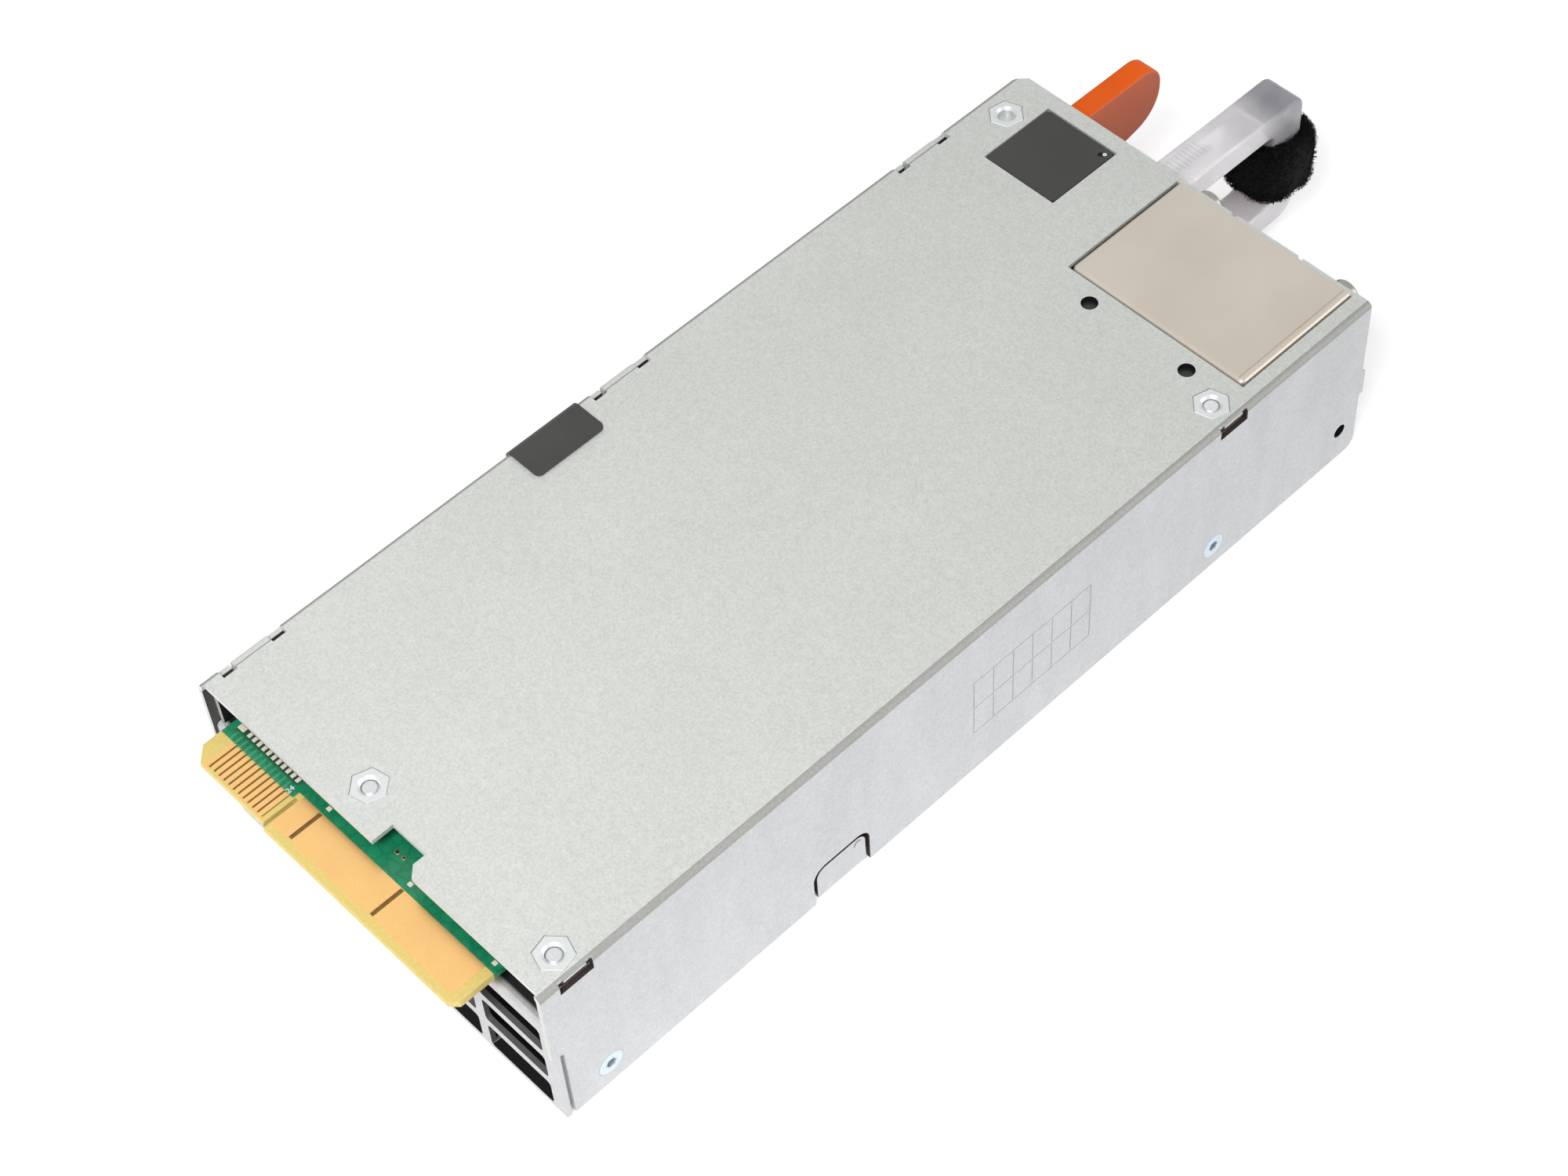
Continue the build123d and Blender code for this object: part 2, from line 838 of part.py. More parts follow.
def make_inlet_can():
    x = (can_right_x, can_left_x)
    y = (panel_back_y, can_back_y)
    z = (can_bottom_z, case_height + can_proud)
    can = block(x, y, z)
    can = fillet(can.edges() - can.faces().sort_by(Axis.Y)[0].edges(), can_radius)
    inside = [(start + can_wall, end - can_wall) for start, end in (x, y, z)]
    inside[1] = (y[0] + can_front_wall, y[1] - can_wall)
    can -= block(*inside)
    opening = Pos(inlet_x, inlet_z) * Rectangle(
        inlet_body_width + 2 * inlet_gap, inlet_body_height + 2 * inlet_gap
    )
    can -= along_y(opening, y[0] - cut_over, y[0] + can_front_wall + cut_over)
    for screw_x in inlet_screw_xs():
        through = (y[0] - cut_over, y[0] + can_front_wall + cut_over)
        can -= rod_y(m3_radius + press_gap, screw_x, through, inlet_screw_z)
    seam_x = (x[0] + can_seam_inset, x[0] + can_seam_inset + can_seam_width)
    return can - block(seam_x, (y[0] - cut_over, y[1] + cut_over), (z[1] - can_seam_depth, z[1]))


def inlet_screw_xs():
    return span(inlet_x, inlet_screw_pitch)


def make_inlet_body():
    place = Pos(inlet_x, inlet_z)
    body_y = (front_y, front_y + inlet_body_depth)
    lip = RectangleRounded(
        inlet_body_width + 2 * inlet_lip, inlet_body_height + 2 * inlet_lip, inlet_lip
    )
    body = along_y(place * Rectangle(inlet_body_width, inlet_body_height), *body_y)
    body += along_y(place * lip, front_y - inlet_lip_thickness, front_y)
    cavity = socket_outline(inlet_cavity_width, inlet_cavity_height)
    mouth_y = front_y - inlet_lip_thickness
    body -= along_y(place * cavity, mouth_y - cut_over, mouth_y + inlet_cavity_depth)
    return body - inlet_pin_solids(press_gap)


def inlet_pin_solids(gap):
    mouth_y = front_y - inlet_lip_thickness
    y = (mouth_y + pin_recess, front_y + inlet_body_depth + pin_tail)
    pins = []
    for step in (-1, 0, 1):
        rise = pin_earth_rise if step == 0 else -pin_earth_rise
        blade = RectangleRounded(pin_width + 2 * gap, pin_height + 2 * gap, pin_width / 4)
        pins.append(along_y(Pos(inlet_x + step * pin_pitch, inlet_z + rise) * blade, *y))
    return pins


def pan_screw(x, z, head_y, length, toward):
    """Screw along Y: its head starts at head_y and its shank runs towards +Y (1) or -Y (-1)."""
    head = Cylinder(m3_head_radius, m3_head_height)
    head = fillet(head.edges().group_by(Axis.Z)[0], m3_head_height / 3)
    recess = Cylinder(recess_radius, recess_depth)
    shank = Cylinder(m3_radius, length)
    screw = Pos(0, 0, -m3_head_height / 2) * head
    screw += Pos(0, 0, length / 2) * shank
    screw -= Pos(0, 0, -m3_head_height + recess_depth / 2) * recess
    return Plane((x, head_y, z), x_dir=(1, 0, 0), z_dir=(0, toward, 0)) * screw


def make_inlet_screws():
    return group(
        pan_screw(x, inlet_screw_z, front_y, inlet_screw_length, 1) for x in inlet_screw_xs()
    )


# Fan

fan_place = Pos(fan_x, fan_front_y, fan_z) * Rot(-90, 0, 0)


def make_fan_frame():
    """Square frame with its motor base at the panel."""
    square = RectangleRounded(fan_size, fan_size, fan_corner_radius)
    frame = along_z(square, 0, fan_flange_thickness)
    frame += along_z(square, fan_depth - fan_flange_thickness, fan_depth)
    frame += along_z(Circle(fan_barrel_radius), 0, fan_depth)
    frame -= along_z(Circle(fan_bore_radius), -cut_over, fan_depth + cut_over)
    for corner in GridLocations(fan_hole_spacing, fan_hole_spacing, 2, 2):
        frame -= along_z(corner * Circle(fan_hole_radius), -cut_over, fan_depth + cut_over)
    base = along_z(Circle(fan_base_radius), 0, fan_base_thickness)
    struts = Part()
    for turn in range(strut_count):
        arm_length = fan_barrel_radius - (fan_barrel_radius - fan_bore_radius) / 2
        arm = block((0, arm_length), span(0, strut_width), (0, fan_base_thickness))
        struts += Rot(0, 0, 45 + turn * 360 / strut_count) * arm
    tube = along_z(Circle(bearing_tube_radius), 0, fan_base_thickness + bearing_tube_length)
    frame += base + struts + tube
    bore = along_z(
        Circle(bearing_radius + press_gap),
        fan_base_thickness,
        fan_base_thickness + bearing_tube_length + cut_over,
    )
    return fan_place * (frame - bore)


def blade_section(radius, half_width, height):
    """Cambered blade outline on the plane that faces outwards at a radius."""
    chord = (half_width**2 + (height / 2) ** 2) ** 0.5
    across = (-height / 2 / chord, half_width / chord)
    ends = ((-half_width, -height / 2), (half_width, height / 2))
    outer = blade_camber + blade_thickness / 2
    inner = blade_camber - blade_thickness / 2
    first = ThreePointArc(ends[0], (across[0] * outer, across[1] * outer), ends[1])
    second = ThreePointArc(ends[1], (across[0] * inner, across[1] * inner), ends[0])
    plane = Plane((radius, 0, 0), x_dir=(0, 1, 0), z_dir=(1, 0, 0))
    return plane * make_face(first + second)


def make_fan_rotor():
    """Hub cup over the stator, with twisted blades."""
    start = fan_base_thickness + hub_front_gap
    rotor = along_z(Circle(hub_radius), start, start + hub_length)
    top = fillet(rotor.edges().group_by(Axis.Z)[-1], hub_wall)
    cup = along_z(Circle(hub_radius - hub_wall), start - cut_over, start + hub_length - hub_wall)
    rotor = top - cup
    middle = start + blade_inset + blade_height / 2
    root = blade_section(hub_radius - hub_wall / 2, blade_root_half_width, blade_height)
    tip_radius = fan_bore_radius - blade_tip_gap
    tip = blade_section(tip_radius, blade_tip_half_width, blade_height - blade_inset)
    blade = Pos(0, 0, middle) * loft([root, tip])
    blade = blade & along_z(Circle(tip_radius), start, start + hub_length)
    for turn in range(blade_count):
        rotor += Rot(0, 0, turn * 360 / blade_count) * blade
    return fan_place * rotor


def shaft_ends():
    cup_floor = fan_base_thickness + hub_front_gap + hub_length - hub_wall
    return (fan_base_thickness + bearing_length / 4, cup_floor)


def make_fan_shaft():
    return fan_place * along_z(Circle(shaft_radius), *shaft_ends())


def make_fan_bearings():
    ring = Circle(bearing_radius) - Circle(shaft_radius + run_gap)
    first = fan_base_thickness
    last = fan_base_thickness + bearing_tube_length - bearing_length
    rings = [along_z(ring, start, start + bearing_length) for start in (first, last)]
    return group(fan_place * bearing for bearing in rings)


def make_fan_stator():
    """Laminated poles pressed on the bearing tube."""
    start = fan_base_thickness + hub_front_gap + bearing_length
    ring = Circle(stator_radius) - Circle(bearing_tube_radius + press_gap)
    stator = along_z(ring, start, start + stator_length)
    yoke_radius = (stator_radius + bearing_tube_radius) / 2
    for turn in range(stator_poles):
        slot = block(
            (yoke_radius, stator_radius + cut_over),
            span(0, stator_slot_width),
            (start - cut_over, start + stator_length + cut_over),
        )
        stator -= Rot(0, 0, turn * 360 / stator_poles) * slot
    return fan_place * stator


def make_fan_gasket():
    ring = RectangleRounded(fan_size, fan_size, fan_corner_radius) - Circle(fan_bore_radius)
    gasket = Pos(fan_x, panel_back_y, fan_z) * Rot(-90, 0, 0) * along_z(ring, 0, gasket_thickness)
    depth = (panel_back_y - cut_over, fan_front_y + cut_over)
    for z in handle_screw_zs():
        gasket -= rod_y(m3_head_radius + seat_gap, handle_x, depth, z)
    for z in fan_screw_zs():
        gasket -= rod_y(fan_hole_radius, fan_screw_x(), depth, z)
    return gasket.solids().sort_by(SortBy.VOLUME)[-1]


def fan_screw_x():
    return fan_x + fan_hole_spacing / 2


def fan_screw_zs():
    return span(fan_z, fan_hole_spacing)


def fan_screw(z, gap):
    radius = fan_hole_radius - press_gap + gap
    head = wall_screw_head_radius + gap
    start = Plane((fan_screw_x(), front_y, z), x_dir=(1, 0, 0), z_dir=(0, 1, 0))
    cone = Pos(0, 0, sheet / 2) * Cone(head, radius, sheet)
    return start * (cone + Pos(0, 0, fan_screw_length / 2) * Cylinder(radius, fan_screw_length))


def make_fan_screws():
    recess = Cylinder(recess_radius, recess_depth)
    screws = []
    for z in fan_screw_zs():
        place = Pos(fan_screw_x(), front_y + recess_depth / 2, z) * Rot(90, 0, 0)
        screws.append(fan_screw(z, 0) - place * recess)
    return group(screws)


# Panel at the handle end


def vent_cells():
    """Hexagon holes on a close grid inside the fan's circle."""
    pitch = vent_cell + vent_web
    depth = (front_y - cut_over, panel_back_y + cut_over)
    reach = int(vent_radius // pitch) + 1
    cell = RegularPolygon(vent_cell / 2, 6, major_radius=False, rotation=30)
    keep_out = vent_radius - vent_cell / 2
    holes = []
    for row in range(-reach, reach + 1):
        for column in range(-reach, reach + 1):
            x = (column + (row % 2) / 2) * pitch
            z = row * pitch * cos(radians(30))
            if x**2 + z**2 < keep_out**2:
                holes.append(Pos(fan_x + x, fan_z + z) * cell)
    return [along_y(hole, *depth) for hole in holes]


def make_front_panel():
    """Panel with folded side flanges, a hexagon vent and the inlet's opening."""
    width = 2 * (flange_x - panel_side_gap)
    outer = Pos(0, front_y + panel_flange_length / 2) * Rectangle(width, panel_flange_length)
    outer = fillet(outer.vertices().group_by(Axis.Y)[0], fold_radius)
    inner = Pos(0, panel_back_y + panel_flange_length / 2) * Rectangle(
        width - 2 * sheet, panel_flange_length
    )
    inner = fillet(inner.vertices().group_by(Axis.Y)[0], inside_radius)
    panel = along_z(outer - inner, sheet, case_height - can_proud)
    behind = (panel_back_y, front_y + panel_flange_length + cut_over)
    for low, high in (
        (-cut_over, panel_flange_z[0]),
        (panel_flange_z[1], case_height - panel_flange_drops[0]),
        (case_height - panel_flange_drops[1], case_height),
    ):
        left = (flange_x - 2 * fold_radius, wall_x)
        panel -= block(left, behind, (low, high))
    right = (-wall_x, -flange_x + 2 * fold_radius)
    panel -= block(right, behind, (panel_flange_z[1], case_height))
    panel -= block(right, behind, (-cut_over, panel_flange_z[0]))
    ends = (front_y - cut_over, panel_back_y + cut_over)
    rise = (roof_z - touch_gap, case_height)
    panel -= block((can_left_x + can_window_gap, wall_x), ends, rise)
    panel -= block((-wall_x, can_right_x - can_window_gap), ends, rise)
    for offset in strip_notch_offsets:
        notch_z = (case_height - can_proud - strip_notch_depth, case_height)
        panel -= block(span(inlet_x + offset, strip_notch_width), ends, notch_z)
    inlet = Pos(inlet_x, inlet_z) * Rectangle(
        inlet_body_width + 2 * inlet_gap, inlet_body_height + 2 * inlet_gap
    )
    panel -= along_y(inlet, *ends)
    for x in inlet_screw_xs():
        panel -= rod_y(m3_radius + press_gap, x, ends, inlet_screw_z)
    for z in handle_screw_zs():
        panel -= rod_y(m3_radius + press_gap, handle_x, ends, z)
    for z in fan_screw_zs():
        panel -= fan_screw(z, press_gap)
    panel -= rod_y(guide_radius + guide_hole_gap, guide_x(), ends, guide_z())
    slot_x = (arm_inner_x() - arm_sweep(front_y) - arm_gap, wall_x)
    slot_z = (arm_low_z - 2 * arm_gap, arm_low_z + arm_height + 2 * arm_gap)
    panel -= block(slot_x, (ends[0], behind[1]), slot_z)
    panel -= vent_cells()
    return panel


# Latch


def arm_outer_x():
    return flange_x - arm_gap


def arm_inner_x():
    return arm_outer_x() - arm_thickness


def pivot_x():
    return arm_outer_x() - barrel_radius


def pivot_y():
    return front_y + pivot_setback


def arm_sweep(y):
    """How far the arm moves inwards at a y place when the lever is pressed fully."""
    return (pivot_y() - y) * sin(radians(latch_travel_deg))


def make_latch_arm():
    """Flat arm with a rolled pivot and a wedge tooth."""
    front = front_y - arm_reach
    arm = (Pos((arm_inner_x() + arm_outer_x()) / 2, (front + pivot_y()) / 2)) * Rectangle(
        arm_thickness, pivot_y() - front
    )
    outline = arm + Pos(pivot_x(), pivot_y()) * Circle(barrel_radius)
    outline -= Pos(pivot_x(), pivot_y()) * Circle(pivot_radius + run_gap)
    solid = along_z(outline, arm_low_z, arm_low_z + arm_height)
    tip_x = wall_x + tooth_reach
    root_y = front_y + tooth_setback
    wedge = Polyline(
        (arm_outer_x() - arm_thickness / 2, root_y - tooth_length),
        (tip_x, root_y - tooth_length),
        (tip_x, root_y - tooth_length + tooth_flat),
        (arm_outer_x() - arm_thickness / 2, root_y),
        close=True,
    )
    tooth_z = span(arm_middle_z, tooth_height)
    solid += along_z(make_face(wedge), *tooth_z)
    for rivet in lever_rivet_solids(press_gap):
        solid -= rivet
    return solid


def make_latch_bracket():
    """Channel on the cover's flange whose two ears hold the pivot pin."""
    tail = pivot_y() + bracket_tail_gap
    end = pivot_y() + bracket_length - ear_width
    low = arm_low_z - ear_gap - bracket_thickness
    high = arm_low_z + arm_height + ear_gap
    inner = pivot_x() - ear_width / 2
    plate = block(
        (flange_x - bracket_thickness, flange_x), (tail, end), (low, high + bracket_thickness)
    )
    bracket = plate
    for start in (low, high):
        ear_y = (pivot_y() - ear_width / 2, end)
        bracket += block((inner, flange_x), ear_y, (start, start + bracket_thickness))
        hole = (start - cut_over, start + bracket_thickness + cut_over)
        bracket -= rod_z(pivot_radius + press_gap, pivot_x(), pivot_y(), hole)
    return bracket


def make_latch_pin():
    low = arm_low_z - ear_gap - bracket_thickness
    high = arm_low_z + arm_height + ear_gap + bracket_thickness
    pin = rod_z(pivot_radius, pivot_x(), pivot_y(), (low, high))
    heads = rod_z(barrel_radius, pivot_x(), pivot_y(), (low - bracket_thickness, low))
    heads += rod_z(barrel_radius, pivot_x(), pivot_y(), (high, high + bracket_thickness))
    return pin + heads


def make_latch_spring():
    """Leaf that starts on the bracket, passes the pivot and bears on the arm's inner face."""
    plate_x = flange_x - bracket_thickness - spring_thickness / 2
    bend_x = pivot_x() - barrel_radius - 2 * seat_gap
    touch_x = arm_inner_x() - seat_gap - spring_thickness / 2
    line = Polyline(
        (plate_x, pivot_y() + bracket_length - ear_width),
        (plate_x, pivot_y() + bracket_tail_gap + spring_contact / 2),
        (bend_x, pivot_y() + barrel_radius / 2),
        (bend_x, pivot_y() - barrel_radius),
        (touch_x, pivot_y() - spring_contact),
        (touch_x, pivot_y() - spring_contact - spring_thickness * 4),
    )
    strip = trace(line, spring_thickness)
    return along_z(strip, *span(arm_middle_z, spring_height))


def lever_rivet_solids(gap):
    x = (arm_inner_x() - lever_foot_margin, lever_foot_end_x)
    y = front_y - lever_panel_gap - lever_foot_thickness / 2
    return [rod_x(rivet_radius + gap, x, y, z) for z in span(arm_middle_z, rivet_pitch)]


def make_lever_rivets():
    return group(lever_rivet_solids(0))


def make_latch_lever():
    """Thumb tab with a rounded end, on a foot that is riveted over the arm."""
    base_y = front_y - lever_panel_gap
    tip_y = front_y - lever_reach
    outline = Polyline(
        (base_y, lever_top_z),
        (tip_y, lever_top_z),
        (tip_y, lever_top_z - lever_tip_height),
        (base_y, lever_top_z - lever_base_height),
        close=True,
    )
    outline = make_face(outline)
    outline = fillet(outline.vertices().group_by(Axis.X)[0].sort_by(Axis.Y)[0], lever_low_radius)
    outline = fillet(outline.vertices().group_by(Axis.Y)[-1].sort_by(Axis.X)[0], lever_top_radius)
    x = span(lever_x, lever_thickness)
    tab = along_x(outline, *x)
    rims = [edge for edge in tab.edges() - tab.edges().filter_by(Axis.X)]
    tab = fillet([edge for edge in rims if edge.center().Y < base_y - touch_gap], lever_edge_radius)
    foot_z = (arm_low_z - lever_foot_margin, arm_low_z + arm_height + lever_foot_margin)
    foot = block((x[0], lever_foot_end_x), (base_y - lever_foot_thickness, base_y), foot_z)
    foot = fillet(foot.edges().filter_by(Axis.X), lever_edge_radius)
    lever = tab + foot
    lever -= block(
        (arm_inner_x(), arm_outer_x()),
        (front_y - arm_reach, base_y + cut_over),
        (arm_low_z, arm_low_z + arm_height),
    )
    for rivet in lever_rivet_solids(press_gap):
        lever -= rivet
    return lever


# Handle and strap


def handle_screw_zs():
    return (handle_bottom_z + handle_arm_height / 2, handle_top_z - handle_arm_height / 2)


def guide_x():
    return handle_x - handle_width / 2 - guide_foot_reach + guide_inset


def guide_z():
    return handle_bottom_z + handle_arm_height / 2


def make_handle():
    """Clear C shaped handle whose lower foot takes light through the panel."""
    tip_y = front_y - handle_reach
    middle_y = (front_y + tip_y) / 2
    middle_z = (handle_top_z + handle_bottom_z) / 2
    height = handle_top_z - handle_bottom_z
    outer = Pos(middle_y, middle_z) * Rectangle(handle_reach, height)
    upper = outer.vertices().group_by(Axis.X)[0].sort_by(Axis.Y)[-1]
    outer = fillet(upper, handle_top_radius)
    lower = outer.vertices().group_by(Axis.X)[0].sort_by(Axis.Y)[0]
    outer = fillet(lower, handle_outer_radius)
    inner_start = tip_y + handle_bar_depth
    inner_length = front_y - inner_start + cut_over
    inner = Pos(inner_start + inner_length / 2, middle_z) * Rectangle(
        inner_length, height - 2 * handle_arm_height
    )
    inner = fillet(inner.vertices().group_by(Axis.X)[0], handle_inner_radius)
    x = span(handle_x, handle_width)
    handle = along_x(outer - inner, *x)
    sides = handle.faces().filter_by(Axis.X).edges() - handle.faces().sort_by(Axis.Y)[-1].edges()
    sides = [edge for edge in sides if edge.center().Y < front_y - touch_gap]
    handle = fillet(sides, handle_edge_radius)
    foot_x = (x[0] - guide_foot_reach, x[0] + guide_foot_overlap)
    foot_z = (handle_bottom_z, handle_bottom_z + handle_arm_height)
    handle += block(foot_x, (front_y - guide_foot_thickness, front_y), foot_z)
    stub_y = (front_y - guide_foot_thickness / 2, panel_back_y + lamp_guide_gap)
    handle += rod_y(guide_radius, guide_x(), stub_y, guide_z())
    for z in handle_screw_zs():
        hole = (front_y - handle_screw_length + sheet - seat_gap, front_y + cut_over)
        handle -= rod_y(m3_radius + press_gap, handle_x, hole, z)
    return handle


def make_handle_screws():
    return group(
        pan_screw(handle_x, z, panel_back_y, handle_screw_length, -1) for z in handle_screw_zs()
    )


def make_cable_strap():
    bar_y = front_y - handle_reach + handle_bar_depth / 2
    width = handle_width + 2 * strap_thickness
    depth = handle_bar_depth + 2 * strap_thickness
    outer = RectangleRounded(width, depth, strap_corner_radius)
    inner = RectangleRounded(handle_width, handle_bar_depth, handle_edge_radius)
    ring = Pos(handle_x, bar_y) * (outer - inner)
    middle_z = (handle_top_z + handle_bottom_z) / 2 + strap_rise
    return along_z(ring, *span(middle_z, strap_height))


# Board and contacts


def lead_in(x, tip_y):
    """Cutters that bevel the upper and the lower edge of the card's tip."""
    wedges = []
    for face_z, inward in ((board_top_z, -1), (board_low_z, 1)):
        wedge = Polyline(
            (tip_y - tongue_lead_length, face_z - inward * cut_over),
            (tip_y - tongue_lead_length, face_z),
            (tip_y, face_z + inward * tongue_lead_drop),
            (tip_y + cut_over, face_z + inward * tongue_lead_drop),
            (tip_y + cut_over, face_z - inward * cut_over),
            close=True,
        )
        wedges.append(along_x(make_face(wedge), *x))
    return wedges


def make_main_board():
    """Board whose tongue is the card edge, with a key slot between signal and power."""
    half = flange_x - board_side_gap
    shoulder_y = back(board_shoulder_setback)
    tip_y = rear_y + tongue_reach
    signal_y = tip_y - signal_step
    key_left = key_x + key_width / 2
    key_right = key_x - key_width / 2
    outline = Polyline(
        (-half, board_front_y),
        (half, board_front_y),
        (half, shoulder_y),
        (tongue_left_x, shoulder_y),
        (tongue_left_x, signal_y - tongue_bevel_left),
        (tongue_left_x - tongue_bevel_left, signal_y),
        (key_left, signal_y),
        (key_left, tip_y - key_depth),
        (key_right, tip_y - key_depth),
        (key_right, tip_y),
        (tongue_right_x + tongue_bevel_right, tip_y),
        (tongue_right_x, tip_y - tongue_bevel_right),
        (tongue_right_x, shoulder_y),
        (-half, shoulder_y),
        close=True,
    )
    board = along_z(make_face(outline), board_low_z, board_top_z)
    board -= lead_in((key_x, tongue_left_x + cut_over), signal_y)
    board -= lead_in((tongue_right_x - cut_over, key_x), tip_y)
    for x, y, _ in nut_places:
        hole = (board_low_z - cut_over, board_top_z + cut_over)
        board -= rod_z(m3_radius + press_gap, x, y, hole)
    return board


def contact_layers():
    """The z ranges of the contacts above and below the board."""
    above = (board_top_z, board_top_z + contact_thickness)
    below = (board_low_z - contact_thickness, board_low_z)
    return (above, below)


def make_signal_contacts():
    fingers = []
    for z in contact_layers():
        for index in range(finger_count):
            x = tongue_left_x - finger_edge_gap - index * finger_pitch
            length = finger_length - (finger_short_by if index in short_fingers else 0)
            y = rear_y + finger_inner_reach
            fingers.append(block(span(x, finger_width), (y, y + length), z))
    return group(fingers)


def power_pad_edges():
    key_pad_left = key_x - key_pad_gap
    key_pad_right = key_pad_left - key_pad_width
    middle_left = key_pad_right - power_pad_gap
    middle_right = middle_left - middle_pad_width
    last_pad = (tongue_right_x + last_pad_margin, middle_right - power_pad_gap)
    return ((key_pad_right, key_pad_left), (middle_right, middle_left), last_pad)


def make_power_contacts():
    pads = []
    y = (rear_y + power_pad_inner_reach, rear_y + power_pad_inner_reach + power_pad_length)
    for z in contact_layers():
        for x in power_pad_edges():
            pads.append(block(x, y, z))
    return group(pads)


def make_insulator_sheet():
    half = flange_x - insulator_side_gap
    y = (board_front_y, back(insulator_rear_setback))
    z = (roof_z - insulator_thickness, roof_z)
    sheet_body = block((-half, half), y, z)
    for x, y, _ in nut_places:
        hole = (z[0] - cut_over, z[1] + cut_over)
        sheet_body -= rod_z(nut_shank_radius + insulator_hole_gap, x, y, hole)
    return sheet_body


def clinch_nut(x, y, turn, low_z, bore_low_z):
    """Hexagon head pressed into the roof, on a round shank that is threaded."""
    head = along_z(nut_hexagon(turn, 0), case_height - nut_head, case_height)
    head = chamfer(head.edges().group_by(Axis.Z)[-1], nut_edge)
    nut = Pos(x, y) * head + rod_z(nut_shank_radius, x, y, (low_z, case_height))
    nut -= rod_z(nut_bore_radius, x, y, (bore_low_z, case_height + cut_over))
    mouth = Cone(nut_bore_radius, nut_mouth_radius, nut_mouth_depth)
    return nut - Pos(x, y, case_height - nut_mouth_depth / 2) * mouth


def make_clinch_nuts():
    through = board_top_z - cut_over
    nuts = [clinch_nut(x, y, turn, board_top_z, through) for x, y, turn in nut_places]
    low_z = case_height - short_nut_length
    nuts.append(clinch_nut(*short_nut_place, low_z, low_z + short_nut_floor))
    return group(nuts)


def make_board_screws():
    screws = []
    for x, y, _ in nut_places:
        head = (board_low_z - m3_head_height, board_low_z)
        shank = rod_z(m3_radius, x, y, (board_low_z, case_height - nut_screw_sink))
        shank = chamfer(shank.edges().group_by(Axis.Z)[-1], m3_end_chamfer)
        recess = (head[0] - cut_over, head[0] + recess_depth)
        head = rod_z(m3_head_radius, x, y, head)
        screws.append(head + shank - rod_z(recess_radius, x, y, recess))
    return group(screws)


def make_wall_screws():
    screws = []
    for side in (-1, 1):
        recess_x = between(side, wall_x - recess_depth, wall_x + cut_over)
        for screw, y in zip(wall_screw(side, 0), wall_screw_ys):
            screws.append(screw - rod_x(recess_radius, recess_x, y, wall_screw_z))
    return group(screws)


# Pads on the case


def make_window_pad():
    """Pad that fills the square window, with a small hole near its corner."""
    size = window_size - 2 * window_gap
    top = case_height - window_pad_sink
    outline = Pos(window_x, window_y) * RectangleRounded(size, size, window_pad_radius)
    pad = along_z(outline, top - window_pad_thickness, top)
    hole_x = window_x - window_size / 2 + window_hole_inset
    hole_y = window_y - window_size / 2 + window_hole_inset
    hole = (top - window_pad_thickness / 2, case_height)
    pad -= rod_z(window_hole_radius, hole_x, hole_y, hole)
    flange_size = window_size + 2 * window_gap + 2 * sheet
    flange = Pos(window_x, window_y) * Rectangle(flange_size, flange_size)
    low = roof_z - window_pad_sink - window_pad_thickness / 2
    return pad + along_z(flange, low, roof_z)


def make_edge_pad():
    """Thin pad that wraps the left fold."""
    width = case_width + 2 * edge_pad_thickness
    outer = folded_outline(
        width, case_height + edge_pad_thickness, fold_radius + edge_pad_thickness, True
    )
    inner = folded_outline(case_width, case_height, fold_radius, True)
    reach = (wall_x - edge_pad_reach, wall_x + cut_over)
    middle = back(edge_pad_setback)
    y = span(middle, edge_pad_length)
    z = (case_height - edge_pad_reach, case_height + cut_over)
    pad = along_y(outer - inner, *y) & block(reach, y, z)
    corners = pad.edges().filter_by(Axis.Z).group_by(Axis.X)[0]
    corners += pad.edges().filter_by(Axis.X).group_by(Axis.Z)[0]
    return fillet(corners, edge_pad_corner_radius)


# Parts under the board


def under_board(x, y, height):
    return block(x, y, (board_low_z - height, board_low_z))


def make_bulk_capacitor():
    """Can that lies along the case, with its rolled groove."""
    z = board_low_z - capacitor_radius - seat_gap
    y = (choke_back_y, choke_back_y + capacitor_length)
    can = rod_y(capacitor_radius, capacitor_x, y, z)
    groove_y = (y[0] + 3 * capacitor_groove, y[0] + 6 * capacitor_groove)
    ring = rod_y(capacitor_radius + cut_over, capacitor_x, groove_y, z)
    ring -= rod_y(capacitor_radius - capacitor_groove, capacitor_x, groove_y, z)
    return can - ring


def ring_core(x, y, outer, inner, height):
    low = board_low_z - seat_gap - choke_wrap - height
    ring = Pos(x, y) * (Circle(outer) - Circle(inner))
    return along_z(ring, low, low + height)


def ring_winding(x, y, outer, inner, height):
    """Turns round a ring core, as ribs that run over it."""
    low = board_low_z - seat_gap - 2 * choke_wrap - height
    shell = along_z(Circle(outer + choke_wrap) - Circle(inner - choke_wrap), 0, height + 2 * choke_wrap)
    hollow = along_z(
        Circle(outer + press_gap) - Circle(inner - press_gap),
        choke_wrap - press_gap,
        choke_wrap + height + press_gap,
    )
    shell -= hollow
    slot_width = 2 * pi * (inner - choke_wrap) / choke_ribs / 3
    for turn in range(choke_ribs):
        slot = block(
            (0, outer + 2 * choke_wrap),
            span(0, slot_width),
            (height + choke_wrap * 1.5, height + 3 * choke_wrap),
        )
        shell -= Rot(0, 0, turn * 360 / choke_ribs) * slot
    return Pos(x, y, low) * shell


def make_boost_choke_core():
    return ring_core(choke_x, choke_y, choke_outer_radius, choke_inner_radius, choke_height)


def make_boost_choke_winding():
    return ring_winding(choke_x, choke_y, choke_outer_radius, choke_inner_radius, choke_height)


def make_line_choke():
    outer = line_choke_radius
    return ring_winding(line_choke_x, line_choke_y, outer, outer / 2, line_choke_height)


